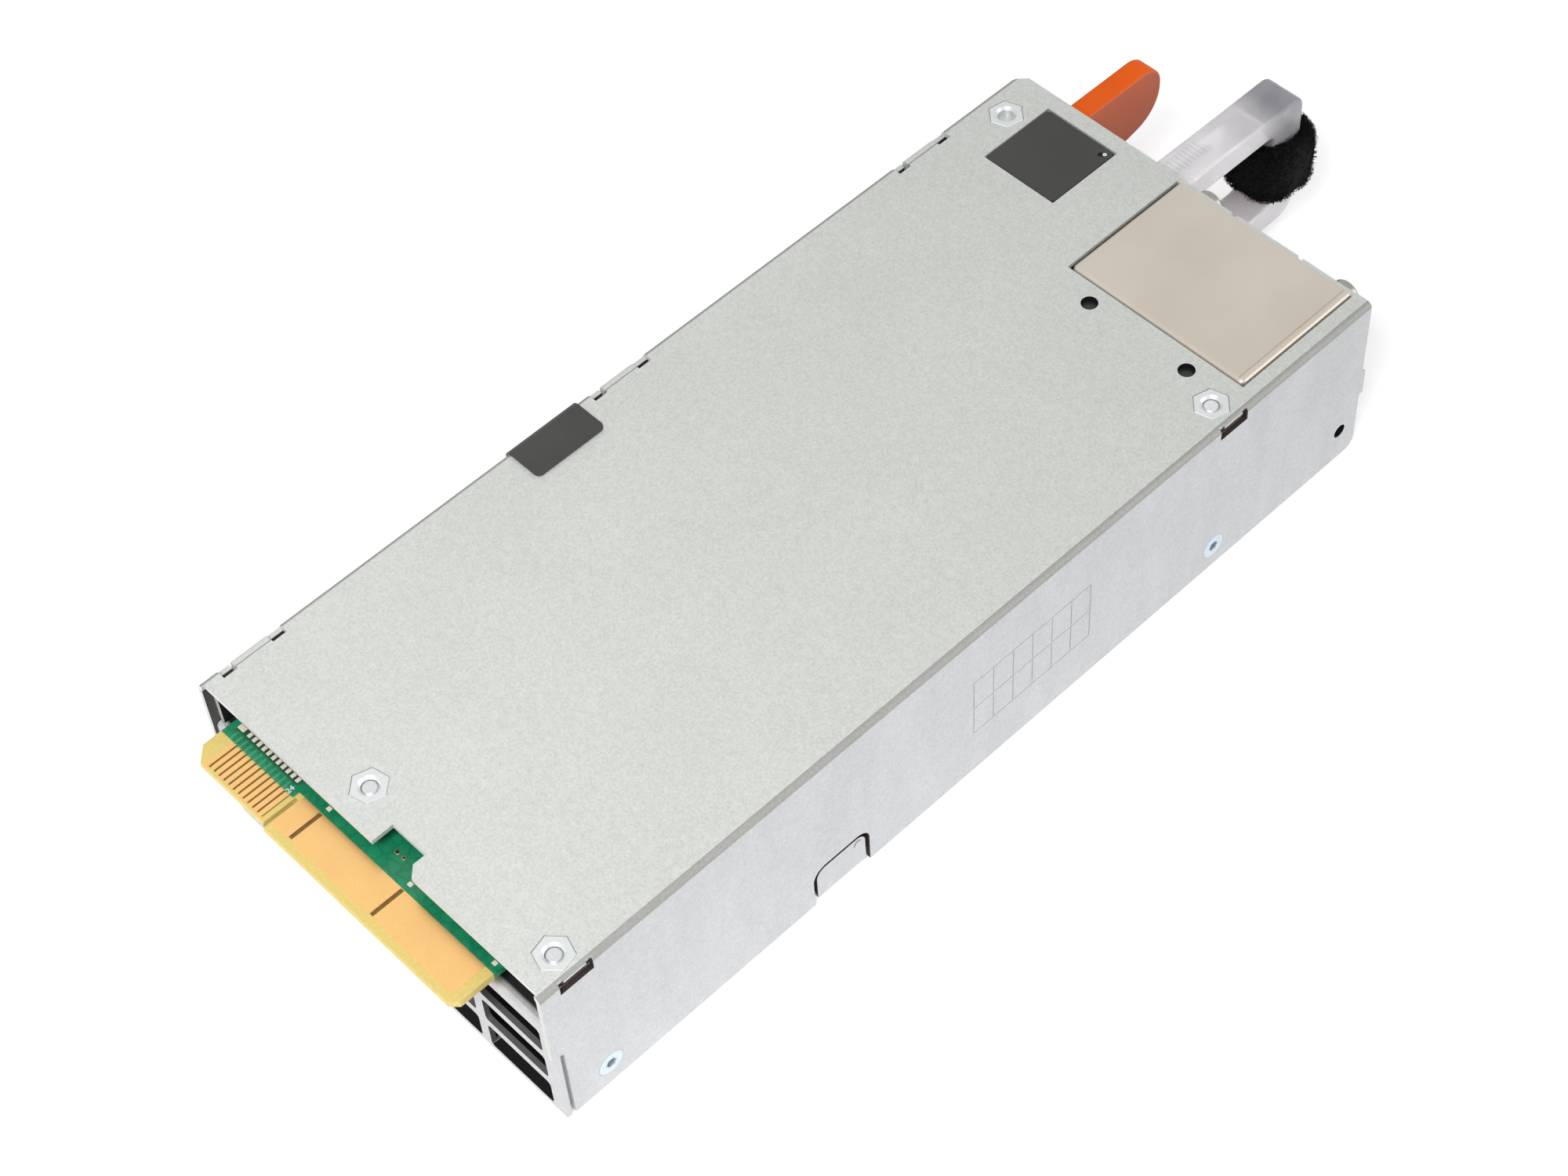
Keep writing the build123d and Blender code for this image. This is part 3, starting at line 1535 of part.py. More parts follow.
def make_transformer_core():
    """Two E shaped halves round the winding."""
    x = span(transformer_x, transformer_width)
    y = span(transformer_y, transformer_length)
    core = under_board(x, y, transformer_height + seat_gap)
    core -= block(x, y, (board_low_z - seat_gap, board_low_z))
    low = board_low_z - transformer_height - seat_gap
    for side in (-1, 1):
        window_x_range = sorted(
            (
                transformer_x + side * transformer_leg,
                transformer_x + side * (transformer_width / 2 - transformer_leg),
            )
        )
        window_y = (y[0] - cut_over, y[1] + cut_over)
        window_z = (low + transformer_leg, board_low_z - seat_gap - transformer_leg)
        core -= block(window_x_range, window_y, window_z)
    return core


def make_transformer_winding():
    """Coil round the middle leg, bulging out of both ends."""
    gap = transformer_winding_gap
    inner = (transformer_leg + gap, transformer_length / 2 + gap)
    outer_x = transformer_width / 2 - transformer_leg - gap
    low = board_low_z - transformer_height - seat_gap + transformer_leg + gap
    high = board_low_z - seat_gap - transformer_leg - gap
    ring = RectangleRounded(2 * outer_x, 2 * transformer_reach, transformer_leg / 2)
    ring -= Rectangle(2 * inner[0], 2 * inner[1])
    return along_z(Pos(transformer_x, transformer_y) * ring, low, high)


def finned_sink(x, y, height):
    """Plate that stands under the board, with fins on its left side."""
    sink = under_board((x, x + sink_base), y, height)
    step = (height - sink_fin_thickness) / (sink_fins - 1)
    for index in range(sink_fins):
        low = board_low_z - height + index * step
        z = (low, low + sink_fin_thickness)
        if index < sink_fins - 1:
            sink += block((x + sink_base, x + sink_base + sink_fin_reach), y, z)
    return sink


def make_primary_heatsink():
    return finned_sink(sink_x, (sink_y, sink_y + sink_length), sink_height)


def make_power_transistors():
    pitch = sink_length / transistor_count
    bodies = []
    for index in range(transistor_count):
        middle = sink_y + (index + 0.5) * pitch
        low = board_low_z - seat_gap - sink_height / 2 - transistor_height / 2
        x = (sink_x - transistor_thickness, sink_x)
        body = block(x, span(middle, transistor_width), (low, low + transistor_height))
        for lead in (-1, 0, 1):
            lead_y = span(middle + lead * transistor_width / 4, transistor_thickness / 5)
            lead_x = span(sink_x - transistor_thickness / 2, transistor_thickness / 5)
            body += block(lead_x, lead_y, (low + transistor_height, board_low_z))
        bodies.append(body)
    return group(bodies)


def make_output_heatsink():
    y = (output_sink_y, output_sink_y + output_sink_length)
    return finned_sink(output_sink_x, y, output_sink_height)


def make_output_capacitors():
    cans = []
    for column in range(output_cap_columns):
        for row in range(output_cap_rows):
            x = (column - (output_cap_columns - 1) / 2) * output_cap_pitch
            y = output_cap_y + row * output_cap_pitch
            low = board_low_z - output_cap_height
            can = rod_z(output_cap_radius, x, y, (low, board_low_z))
            rim = can.edges().group_by(Axis.Z)[0]
            cans.append(fillet(rim, output_cap_radius / 8))
    return group(cans)


def make_bus_bars():
    bars = []
    y = (bus_bar_y, output_cap_front_y - bus_bar_end_gap)
    for x in bus_bar_xs:
        z = (board_low_z - bus_bar_thickness, board_low_z)
        bars.append(block(span(x, bus_bar_width), y, z))
    return group(bars)


def make_relay():
    width, length, height = relay_size
    y = span(relay_y, length)
    body = under_board(span(relay_x, width), y, height)
    return fillet(body.edges().filter_by(Axis.Z), width / 12)


def make_fuse():
    z = board_low_z - fuse_radius - seat_gap
    tube = rod_y(fuse_radius - seat_gap, fuse_x, (fuse_y, fuse_y + fuse_length), z)
    for end in (fuse_y, fuse_y + fuse_length - fuse_cap_length):
        tube += rod_y(fuse_radius, fuse_x, (end, end + fuse_cap_length), z)
    return tube


def make_film_capacitor():
    width, length, height = film_cap_size
    y = span(film_cap_y, length)
    body = under_board(span(film_cap_x, width), y, height)
    return fillet(body.edges().filter_by(Axis.Z), width / 12)


def make_control_board():
    x = (control_x, control_x + control_thickness)
    return under_board(x, (control_y, control_y + control_length), control_height)


def make_control_chips():
    thickness, width, height = chip_size
    middle = control_y + control_length / 2
    chips = []
    for index in range(chip_count):
        y = middle + (index - (chip_count - 1) / 2) * chip_pitch
        z = board_low_z - control_height / 2
        x = (control_x - thickness, control_x)
        chips.append(block(x, span(y, width), span(z, height)))
    return group(chips)


def make_lamp_board():
    x = (guide_x() - lamp_board_width / 2, guide_x() + lamp_board_width / 2)
    y = (panel_back_y + lamp_guide_gap, panel_back_y + lamp_guide_gap + lamp_board_length)
    return block(x, y, (can_bottom_z - lamp_board_thickness, can_bottom_z))


def make_status_lamp():
    """Lamp under its board, facing the handle's light guide."""
    top = can_bottom_z - lamp_board_thickness
    start = panel_back_y + 2 * lamp_guide_gap
    dome_y = start + guide_radius
    body = block(span(guide_x(), lamp_size), (dome_y, dome_y + lamp_size), (top - lamp_size, top))
    dome = Pos(guide_x(), dome_y, top - lamp_size / 2) * Sphere(guide_radius - touch_gap)
    front = block(
        span(guide_x(), lamp_size), (start, dome_y + lamp_size / 2), (top - lamp_size, top)
    )
    return body + (dome & front)


nodes = {
    "case_shell": make_case_shell(),
    "bottom_cover": make_bottom_cover(),
    "outlet_grille": make_outlet_grille(),
    "front_panel": make_front_panel(),
    "inlet_can": make_inlet_can(),
    "inlet_body": make_inlet_body(),
    "inlet_pins": group(inlet_pin_solids(0)),
    "inlet_screws": make_inlet_screws(),
    "fan_frame": make_fan_frame(),
    "fan_rotor": make_fan_rotor(),
    "fan_shaft": make_fan_shaft(),
    "fan_bearings": make_fan_bearings(),
    "fan_stator": make_fan_stator(),
    "fan_gasket": make_fan_gasket(),
    "fan_screws": make_fan_screws(),
    "latch_lever": make_latch_lever(),
    "latch_arm": make_latch_arm(),
    "latch_bracket": make_latch_bracket(),
    "latch_pin": make_latch_pin(),
    "latch_spring": make_latch_spring(),
    "lever_rivets": make_lever_rivets(),
    "handle": make_handle(),
    "handle_screws": make_handle_screws(),
    "cable_strap": make_cable_strap(),
    "main_board": make_main_board(),
    "signal_contacts": make_signal_contacts(),
    "power_contacts": make_power_contacts(),
    "insulator_sheet": make_insulator_sheet(),
    "clinch_nuts": make_clinch_nuts(),
    "board_screws": make_board_screws(),
    "wall_screws": make_wall_screws(),
    "window_pad": make_window_pad(),
    "edge_pad": make_edge_pad(),
    "bulk_capacitor": make_bulk_capacitor(),
    "boost_choke_core": make_boost_choke_core(),
    "boost_choke_winding": make_boost_choke_winding(),
    "line_choke": make_line_choke(),
    "transformer_core": make_transformer_core(),
    "transformer_winding": make_transformer_winding(),
    "primary_heatsink": make_primary_heatsink(),
    "power_transistors": make_power_transistors(),
    "output_heatsink": make_output_heatsink(),
    "output_capacitors": make_output_capacitors(),
    "bus_bars": make_bus_bars(),
    "relay": make_relay(),
    "fuse": make_fuse(),
    "film_capacitor": make_film_capacitor(),
    "control_board": make_control_board(),
    "control_chips": make_control_chips(),
    "lamp_board": make_lamp_board(),
    "status_lamp": make_status_lamp(),
}

os.makedirs("parts", exist_ok=True)
for name, shape in nodes.items():
    export_step(shape, f"parts/{name}.step")
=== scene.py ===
import json
import math
import random

import bmesh
import bpy
from mathutils import Matrix, Vector


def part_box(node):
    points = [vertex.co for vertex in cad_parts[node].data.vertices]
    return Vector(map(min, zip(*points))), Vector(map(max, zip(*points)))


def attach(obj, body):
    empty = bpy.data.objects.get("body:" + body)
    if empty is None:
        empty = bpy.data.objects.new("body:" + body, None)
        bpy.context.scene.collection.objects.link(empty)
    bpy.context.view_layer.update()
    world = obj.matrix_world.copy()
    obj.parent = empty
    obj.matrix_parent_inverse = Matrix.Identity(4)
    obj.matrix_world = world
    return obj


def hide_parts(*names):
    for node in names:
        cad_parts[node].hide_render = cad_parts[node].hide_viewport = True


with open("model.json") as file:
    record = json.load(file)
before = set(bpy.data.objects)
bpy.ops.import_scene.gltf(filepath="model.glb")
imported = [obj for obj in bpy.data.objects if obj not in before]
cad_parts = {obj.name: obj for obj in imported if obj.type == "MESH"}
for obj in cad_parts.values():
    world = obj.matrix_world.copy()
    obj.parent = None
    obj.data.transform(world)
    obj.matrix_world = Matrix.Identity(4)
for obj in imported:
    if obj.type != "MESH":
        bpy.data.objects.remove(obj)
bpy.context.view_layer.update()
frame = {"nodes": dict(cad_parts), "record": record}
nodes = frame["nodes"]

# Lengths and places are named in millimetres, and MM turns them into metres.
MM = 0.001
TURN = 2 * math.pi
X, Y, Z = range(3)


# Material helpers


def scaled(color, factor):
    return tuple(min(1.0, c * factor) for c in color)


class Shader:
    """Builds one procedural material around a Principled shader."""

    def __init__(self, name, color, roughness, metallic=0.0, specular=0.5):
        self.material = bpy.data.materials.new(name)
        self.material.use_nodes = True
        self.tree = self.material.node_tree
        self.bsdf = next(n for n in self.tree.nodes if n.type == "BSDF_PRINCIPLED")
        self.bsdf.inputs["Base Color"].default_value = (*color, 1.0)
        self.bsdf.inputs["Roughness"].default_value = roughness
        self.bsdf.inputs["Metallic"].default_value = metallic
        self.bsdf.inputs["Specular IOR Level"].default_value = specular
        self.coords = self.add("ShaderNodeTexCoord").outputs["Object"]
        self.bumped = None

    def add(self, kind, **settings):
        node = self.tree.nodes.new(kind)
        for key, value in settings.items():
            setattr(node, key, value)
        return node

    def link(self, source, target):
        self.tree.links.new(source, target)

    def feed(self, value, target):
        """Links a socket, or writes a plain number or colour."""
        if hasattr(value, "is_linked"):
            self.link(value, target)
        elif hasattr(value, "__len__"):
            target.default_value = (*value, 1.0)
        else:
            target.default_value = value

    def noise(self, size, detail=3.0, rough=0.55, stretch=(1, 1, 1), distortion=0.0):
        """Noise of a feature size, drawn out along each axis by its stretch."""
        mapping = self.add("ShaderNodeMapping")
        mapping.inputs["Scale"].default_value = tuple(1 / MM / size / s for s in stretch)
        self.link(self.coords, mapping.inputs["Vector"])
        node = self.add("ShaderNodeTexNoise")
        node.inputs["Scale"].default_value = 1.0
        node.inputs["Detail"].default_value = detail
        node.inputs["Roughness"].default_value = rough
        node.inputs["Distortion"].default_value = distortion
        self.link(mapping.outputs["Vector"], node.inputs["Vector"])
        return node.outputs["Fac"]

    def cell_edges(self, size):
        """Distance to the edges of random cells."""
        node = self.add("ShaderNodeTexVoronoi", feature="DISTANCE_TO_EDGE")
        node.inputs["Scale"].default_value = 1 / MM / size
        self.link(self.coords, node.inputs["Vector"])
        return node.outputs["Distance"]

    def ramp(self, factor, stops):
        """Colour or grey stops given as (place, value)."""
        node = self.add("ShaderNodeValToRGB")
        ramp = node.color_ramp
        while len(ramp.elements) < len(stops):
            ramp.elements.new(0.5)
        for element, (place, color) in zip(ramp.elements, stops):
            element.position = place
            if not hasattr(color, "__len__"):
                color = (color, color, color)
            element.color = (*color, 1.0)
        self.link(factor, node.inputs["Fac"])
        return node.outputs["Color"]

    def shades(self, factor, color, vary):
        """A colour that goes from a little darker to a little lighter."""
        stops = [(0.3, scaled(color, 1 - vary)), (0.7, scaled(color, 1 + vary))]
        return self.ramp(factor, stops)

    def mix(self, factor, first, second, blend="MIX"):
        node = self.add("ShaderNodeMix", data_type="RGBA", blend_type=blend)
        self.feed(factor, node.inputs[0])
        self.feed(first, node.inputs[6])
        self.feed(second, node.inputs[7])
        return node.outputs[2]

    def darken(self, base, amount, factor, stops):
        """Multiplies a colour by the greys of a ramp."""
        return self.mix(amount, base, self.ramp(factor, stops), "MULTIPLY")

    def math(self, operation, first, second=0.5):
        node = self.add("ShaderNodeMath", operation=operation)
        self.feed(first, node.inputs[0])
        self.feed(second, node.inputs[1])
        return node.outputs[0]

    def axis(self, index):
        """Place along one axis, in metres."""
        node = self.add("ShaderNodeSeparateXYZ")
        self.link(self.coords, node.inputs[0])
        return node.outputs[index]

    def wave(self, place, pitch, operation="SINE"):
        """-1 to 1 along a place in metres, one turn in each pitch."""
        return self.math(operation, self.math("MULTIPLY", place, TURN / (pitch * MM)))

    def spread(self, value, start, end, low=0.0, high=1.0):
        """Maps a value from one range to another, held at both ends."""
        node = self.add("ShaderNodeMapRange", clamp=True)
        node.inputs["From Min"].default_value = start
        node.inputs["From Max"].default_value = end
        node.inputs["To Min"].default_value = low
        node.inputs["To Max"].default_value = high
        self.link(value, node.inputs["Value"])
        return node.outputs[0]

    def along(self, axis, start, end, low=0.0, high=1.0):
        """Goes from low to high between two places on an axis."""
        return self.spread(self.axis(axis), start * MM, end * MM, low, high)

    def band(self, axis, low, high, soft):
        """1 between two places on an axis."""
        rise = self.along(axis, low - soft, low + soft)
        fall = self.along(axis, high - soft, high + soft, 1.0, 0.0)
        return self.math("MULTIPLY", rise, fall)

    def patch(self, x, y, soft=0.1):
        """1 inside a rectangle seen from above."""
        return self.math("MULTIPLY", self.band(X, *x, soft), self.band(Y, *y, soft))

    def color(self, source):
        self.link(source, self.bsdf.inputs["Base Color"])

    def rough(self, source, low, high):
        self.link(self.spread(source, 0.0, 1.0, low, high), self.bsdf.inputs["Roughness"])

    def bump(self, source, height, strength=1.0):
        """Adds a bump on top of those before it."""
        node = self.add("ShaderNodeBump")
        node.inputs["Strength"].default_value = strength
        node.inputs["Distance"].default_value = height * MM
        self.link(source, node.inputs["Height"])
        if self.bumped is not None:
            self.link(self.bumped, node.inputs["Normal"])
        self.bumped = node.outputs["Normal"]
        self.link(self.bumped, self.bsdf.inputs["Normal"])


# Materials

BLACK = (0.012, 0.012, 0.013)


def galvanised(name, tint, smudge=0.10, streaks=0.0, shade_span=None):
    """Zinc coated sheet: fine mottle, soft clouds, faint rubs and upright streaks.

    A span of two places on Y, where given, paints shade: the sheet is nearly black at and beyond
    the first place and has its tint from the second.
    """
    s = Shader(name, tint, 0.5, metallic=0.4)
    grain = s.noise(0.42, 3.0, 0.7)
    mottle = s.noise(1.5, 3.0, 0.6)
    clouds = s.noise(24, 3.0, 0.55)
    rubs = s.noise(8, 6.0, 0.75, distortion=0.6)
    base = s.ramp(grain, [(0.34, scaled(tint, 0.89)), (0.5, tint), (0.66, scaled(tint, 1.09))])
    base = s.darken(base, 0.9, mottle, [(0.3, 0.94), (0.7, 1.0)])
    base = s.darken(base, 0.6, clouds, [(0.3, 0.94), (0.7, 1.0)])
    base = s.darken(base, 0.6, rubs, [(0.62, 1.0), (0.82, 1.0 - smudge)])
    if streaks:
        upright = s.noise(5.5, 4.0, 0.6, stretch=(1, 1, 4.5))
        base = s.darken(base, 1.0, upright, [(0.36, 1.0 - streaks), (0.6, 1.0)])
    # Painted shade: nearly black at and beyond the span's first place on Y, rising to the tint.
    if shade_span:
        base = s.darken(base, 1.0, s.along(Y, *shade_span), [(0.0, 0.03), (1.0, 1.0)])
    s.color(base)
    s.rough(grain, 0.50, 0.64)
    s.bump(grain, 0.018, 0.5)
    return s.material


def tin(name):
    """Tinned can: warm, nearly smooth, with a slow change of tone."""
    s = Shader(name, (0.60, 0.545, 0.47), 0.36, metallic=0.8)
    clouds = s.noise(22, 2.0, 0.45)
    brushed = s.noise(0.25, 3.0, 0.6, stretch=(1, 30, 1))
    base = s.ramp(clouds, [(0.3, (0.555, 0.495, 0.42)), (0.7, (0.63, 0.575, 0.505))])
    s.color(s.darken(base, 0.15, brushed, [(0.3, 0.92), (0.7, 1.0)]))
    s.rough(brushed, 0.32, 0.42)
    s.bump(clouds, 0.02, 0.3)
    return s.material


def plastic(name, color, roughness, grain_size=0.25, height=0.012, vary=0.08, specular=0.5):
    """Moulded or coated surface: slow clouds of tone over a fine grain of a height."""
    s = Shader(name, color, roughness, specular=specular)
    grain = s.noise(grain_size, 2.0, 0.6)
    s.color(s.shades(s.noise(12, 3.0, 0.5), color, vary))
    s.rough(grain, max(0.05, roughness - 0.06), min(1.0, roughness + 0.08))
    s.bump(grain, height, 0.6)
    return s.material


def metal(name, color, roughness, stretch=(1, 1, 1), vary=0.08, metallic=1.0):
    """Bare or plated metal, its grain drawn out by a stretch along each axis."""
    s = Shader(name, color, roughness, metallic=metallic)
    grain = s.noise(0.3, 3.0, 0.6, stretch=stretch)
    base = s.shades(grain, color, vary)
    s.color(s.darken(base, 0.35, s.noise(7, 3.0, 0.55), [(0.3, 0.88), (0.7, 1.0)]))
    s.rough(grain, max(0.05, roughness - 0.07), roughness + 0.1)
    s.bump(grain, 0.008, 0.5)
    return s.material


def thread_material():
    """Steel screw whose thread shows as fine turns of painted highlight and painted shade."""
    s = Shader("screw_thread", (0.7, 0.7, 0.72), 0.35, metallic=0.5)
    turns = s.spread(s.wave(s.axis(Y), 0.9), -1.0, 1.0)
    # Painted highlight and shade on the thread's turns, over the bump.
    s.color(s.ramp(turns, [(0.3, (0.42, 0.42, 0.46)), (0.7, (0.88, 0.88, 0.9))]))
    s.bump(turns, 0.2, 0.8)
    return s.material


CONTACT_PITCH = 1.27
FIRST_CONTACT = 31.9  # x of the outermost signal contact
KEY_SLOT = 16.6  # x between the signal and the power contacts
SIGNAL_MASK_END = 100.8  # y at which the green mask ends
POWER_MASK_END = 99.4
PAST_SIDE, PAST_EDGE = 50, 120  # places off the board
# Patches of the board's top, as ranges on X and on Y
TRACKS = ((17.5, 33.5), (99.0, SIGNAL_MASK_END))
PAD_SHADE_PATCH = ((18.0, 34.2), (97.0, 98.8))
SIGNAL_GAP_SHADOWS = ((17.3, 31.6), (100.6, 106.6))
POWER_GAP_SHADOWS = ((-12.5, 12.5), (99.5, 106.0))
SIGNAL_BORDER = ((KEY_SLOT, PAST_SIDE), (SIGNAL_MASK_END, PAST_EDGE))
POWER_BORDER = ((-PAST_SIDE, KEY_SLOT), (POWER_MASK_END, PAST_EDGE))


def board_material():
    """Green mask with a bare glass fibre border, and painted shadow in the gaps between the
    contacts.
    """
    s = Shader("board_mask", (0.02, 0.22, 0.09), 0.32)
    fibre = s.noise(0.6, 3.0, 0.55)
    clouds = s.noise(5, 2.0, 0.5)

    mask = s.ramp(clouds, [(0.3, (0.004, 0.165, 0.07)), (0.7, (0.012, 0.235, 0.105))])
    copper = s.ramp(s.cell_edges(2.2), [(0.05, (0.003, 0.14, 0.06)), (0.14, (0.012, 0.25, 0.11))])
    mask = s.mix(0.35, mask, copper)
    tracks = s.spread(s.wave(s.axis(X), CONTACT_PITCH), 0.1, 1.0)
    tracks = s.math("MULTIPLY", tracks, s.patch(*TRACKS))
    mask = s.mix(s.math("MULTIPLY", tracks, 0.45), mask, (0.10, 0.42, 0.24))
    # Painted shade, nearly black, on the board round and between the solder pads, under the
    # roof's edge.
    pad_shade = s.math("MULTIPLY", s.patch(*PAD_SHADE_PATCH, 0.2), 0.85)
    mask = s.mix(pad_shade, mask, (0.035, 0.05, 0.028))

    bare = s.ramp(fibre, [(0.25, (0.62, 0.47, 0.13)), (0.75, (0.70, 0.55, 0.18))])
    # Painted shadow: dark brown stripes beside the signal contacts, and dark brown in the power
    # contacts' gaps.
    shadow_brown = s.ramp(fibre, [(0.3, (0.11, 0.050, 0.002)), (0.7, (0.19, 0.095, 0.004))])
    across = s.math("SUBTRACT", s.axis(X), FIRST_CONTACT * MM)
    between = s.spread(s.wave(across, CONTACT_PITCH, "COSINE"), -0.45, -0.65)
    gap_shadows = s.math("MULTIPLY", between, s.patch(*SIGNAL_GAP_SHADOWS))
    gap_shadows = s.math("MAXIMUM", gap_shadows, s.patch(*POWER_GAP_SHADOWS))
    bare = s.mix(gap_shadows, bare, shadow_brown)

    border = s.math("ADD", s.patch(*SIGNAL_BORDER), s.patch(*POWER_BORDER))
    s.color(s.mix(border, mask, bare))
    s.rough(fibre, 0.28, 0.42)
    s.bump(fibre, 0.006, 0.4)
    return s.material


ARM_ROOT, BAR = -110, -130.5  # y of the handle's arms near the panel and of its bar
LOWER_ARM = (11, 16)  # z from which the plastic grows clearer, up to its full clearness; below, it is kept milky and so whiter, painted light in the shadow low on the arms
SCREW_IN_ARM = ((5.5, 9.2), (-110.5, -99.0))  # patch seen from above
END_BLOCK_Y, END_BLOCK_Z = (-122.5, -127.5), (26, 34)  # grey block by the bar's top


def clear_material():
    """Clear moulding, milky where it is thick by the panel and clearer at its bar."""
    s = Shader("clear_handle", (0.90, 0.88, 0.91), 0.2)
    s.bsdf.inputs["IOR"].default_value = 1.46
    toward_bar = s.along(Y, ARM_ROOT, BAR)
    clear = s.spread(toward_bar, 0.0, 1.0, 0.34, 0.60)
    # Painted light: half as clear low on the arms, so they look whiter in the shadow there.
    clear = s.math("MULTIPLY", clear, s.along(Z, *LOWER_ARM, 0.5, 1.0))
    s.link(clear, s.bsdf.inputs["Transmission Weight"])
    haze = s.noise(9, 2.0, 0.5)
    milky = s.ramp(haze, [(0.3, (0.86, 0.83, 0.86)), (0.7, (0.97, 0.95, 0.96))])
    turns = s.spread(s.wave(s.axis(Y), 1.0), -0.2, 0.6)
    screw = s.patch(*SCREW_IN_ARM, 0.3)
    turns = s.math("MULTIPLY", turns, s.math("MULTIPLY", screw, 0.5))
    milky = s.mix(turns, milky, (0.62, 0.63, 0.68))
    end_block = s.math("MULTIPLY", s.along(Y, *END_BLOCK_Y), s.along(Z, *END_BLOCK_Z))
    s.color(s.mix(end_block, milky, (0.57, 0.56, 0.61)))
    s.rough(haze, 0.22, 0.30)
    s.bump(s.noise(5.0, 1.0, 0.4), 0.01, 0.2)
    return s.material


def fabric_material():
    """Black knit with ribs about a millimetre apart."""
    s = Shader("strap_pile", (0.008, 0.008, 0.009), 0.95, specular=0.12)
    tufts = s.noise(0.8, 4.0, 0.7)
    ribs = s.spread(s.wave(s.axis(Z), 1.15), -1.0, 1.0)
    base = s.ramp(tufts, [(0.35, (0.003, 0.003, 0.0035)), (0.7, (0.016, 0.0155, 0.017))])
    s.color(s.darken(base, 0.6, ribs, [(0.2, 0.45), (0.8, 1.0)]))
    s.bump(tufts, 0.3, 0.8)
    s.bump(ribs, 0.25, 0.8)
    return s.material


RECESS_RADIUS, LOBE_DEPTH, LOBE_COUNT, RECESS_SOFT = 1.1, 0.17, 6.0, 0.05
HEAD_RIM_SHADE = (2.45, 2.62)  # radii between which the head turns dark, painted shade at its rim


def wall_screw_material():
    """Blue zinc screw heads in the walls, each with painted shade at its rim and a six lobed
    recess drawn in painted shade.
    """
    low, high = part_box("wall_screws")
    radius = (high[Z] - low[Z]) / 2
    near, far = high[Y] - radius, low[Y] + radius
    s = Shader("wall_screw_zinc", (0.55, 0.62, 0.68), 0.35, metallic=0.35)
    is_near = s.math("GREATER_THAN", s.axis(Y), (near + far) / 2)
    middle = s.math("ADD", s.math("MULTIPLY", is_near, near - far), far)
    off_y = s.math("SUBTRACT", s.axis(Y), middle)
    off_z = s.math("SUBTRACT", s.axis(Z), (low[Z] + high[Z]) / 2)
    squares = [s.math("POWER", s.math("ABSOLUTE", off), 2.0) for off in (off_y, off_z)]
    reach = s.math("SQRT", s.math("ADD", *squares))
    lobes = s.math("MULTIPLY", s.math("ARCTAN2", off_z, off_y), LOBE_COUNT)
    lobes = s.math("MULTIPLY", s.math("COSINE", lobes), LOBE_DEPTH * MM)
    past_edge = s.math("SUBTRACT", reach, s.math("ADD", lobes, RECESS_RADIUS * MM))
    recess_shade = s.spread(past_edge, -RECESS_SOFT * MM, RECESS_SOFT * MM, 1.0, 0.0)
    rim = s.spread(reach, *(r * MM for r in HEAD_RIM_SHADE))
    grain = s.noise(0.4, 3.0, 0.6)
    face = s.ramp(grain, [(0.3, (0.50, 0.59, 0.65)), (0.7, (0.60, 0.68, 0.73))])
    # Painted shade: the recess and the rim are drawn dark over the head's face.
    s.color(s.mix(s.math("MAXIMUM", recess_shade, rim), face, (0.36, 0.43, 0.48)))
    s.rough(grain, 0.25, 0.4)
    return s.material


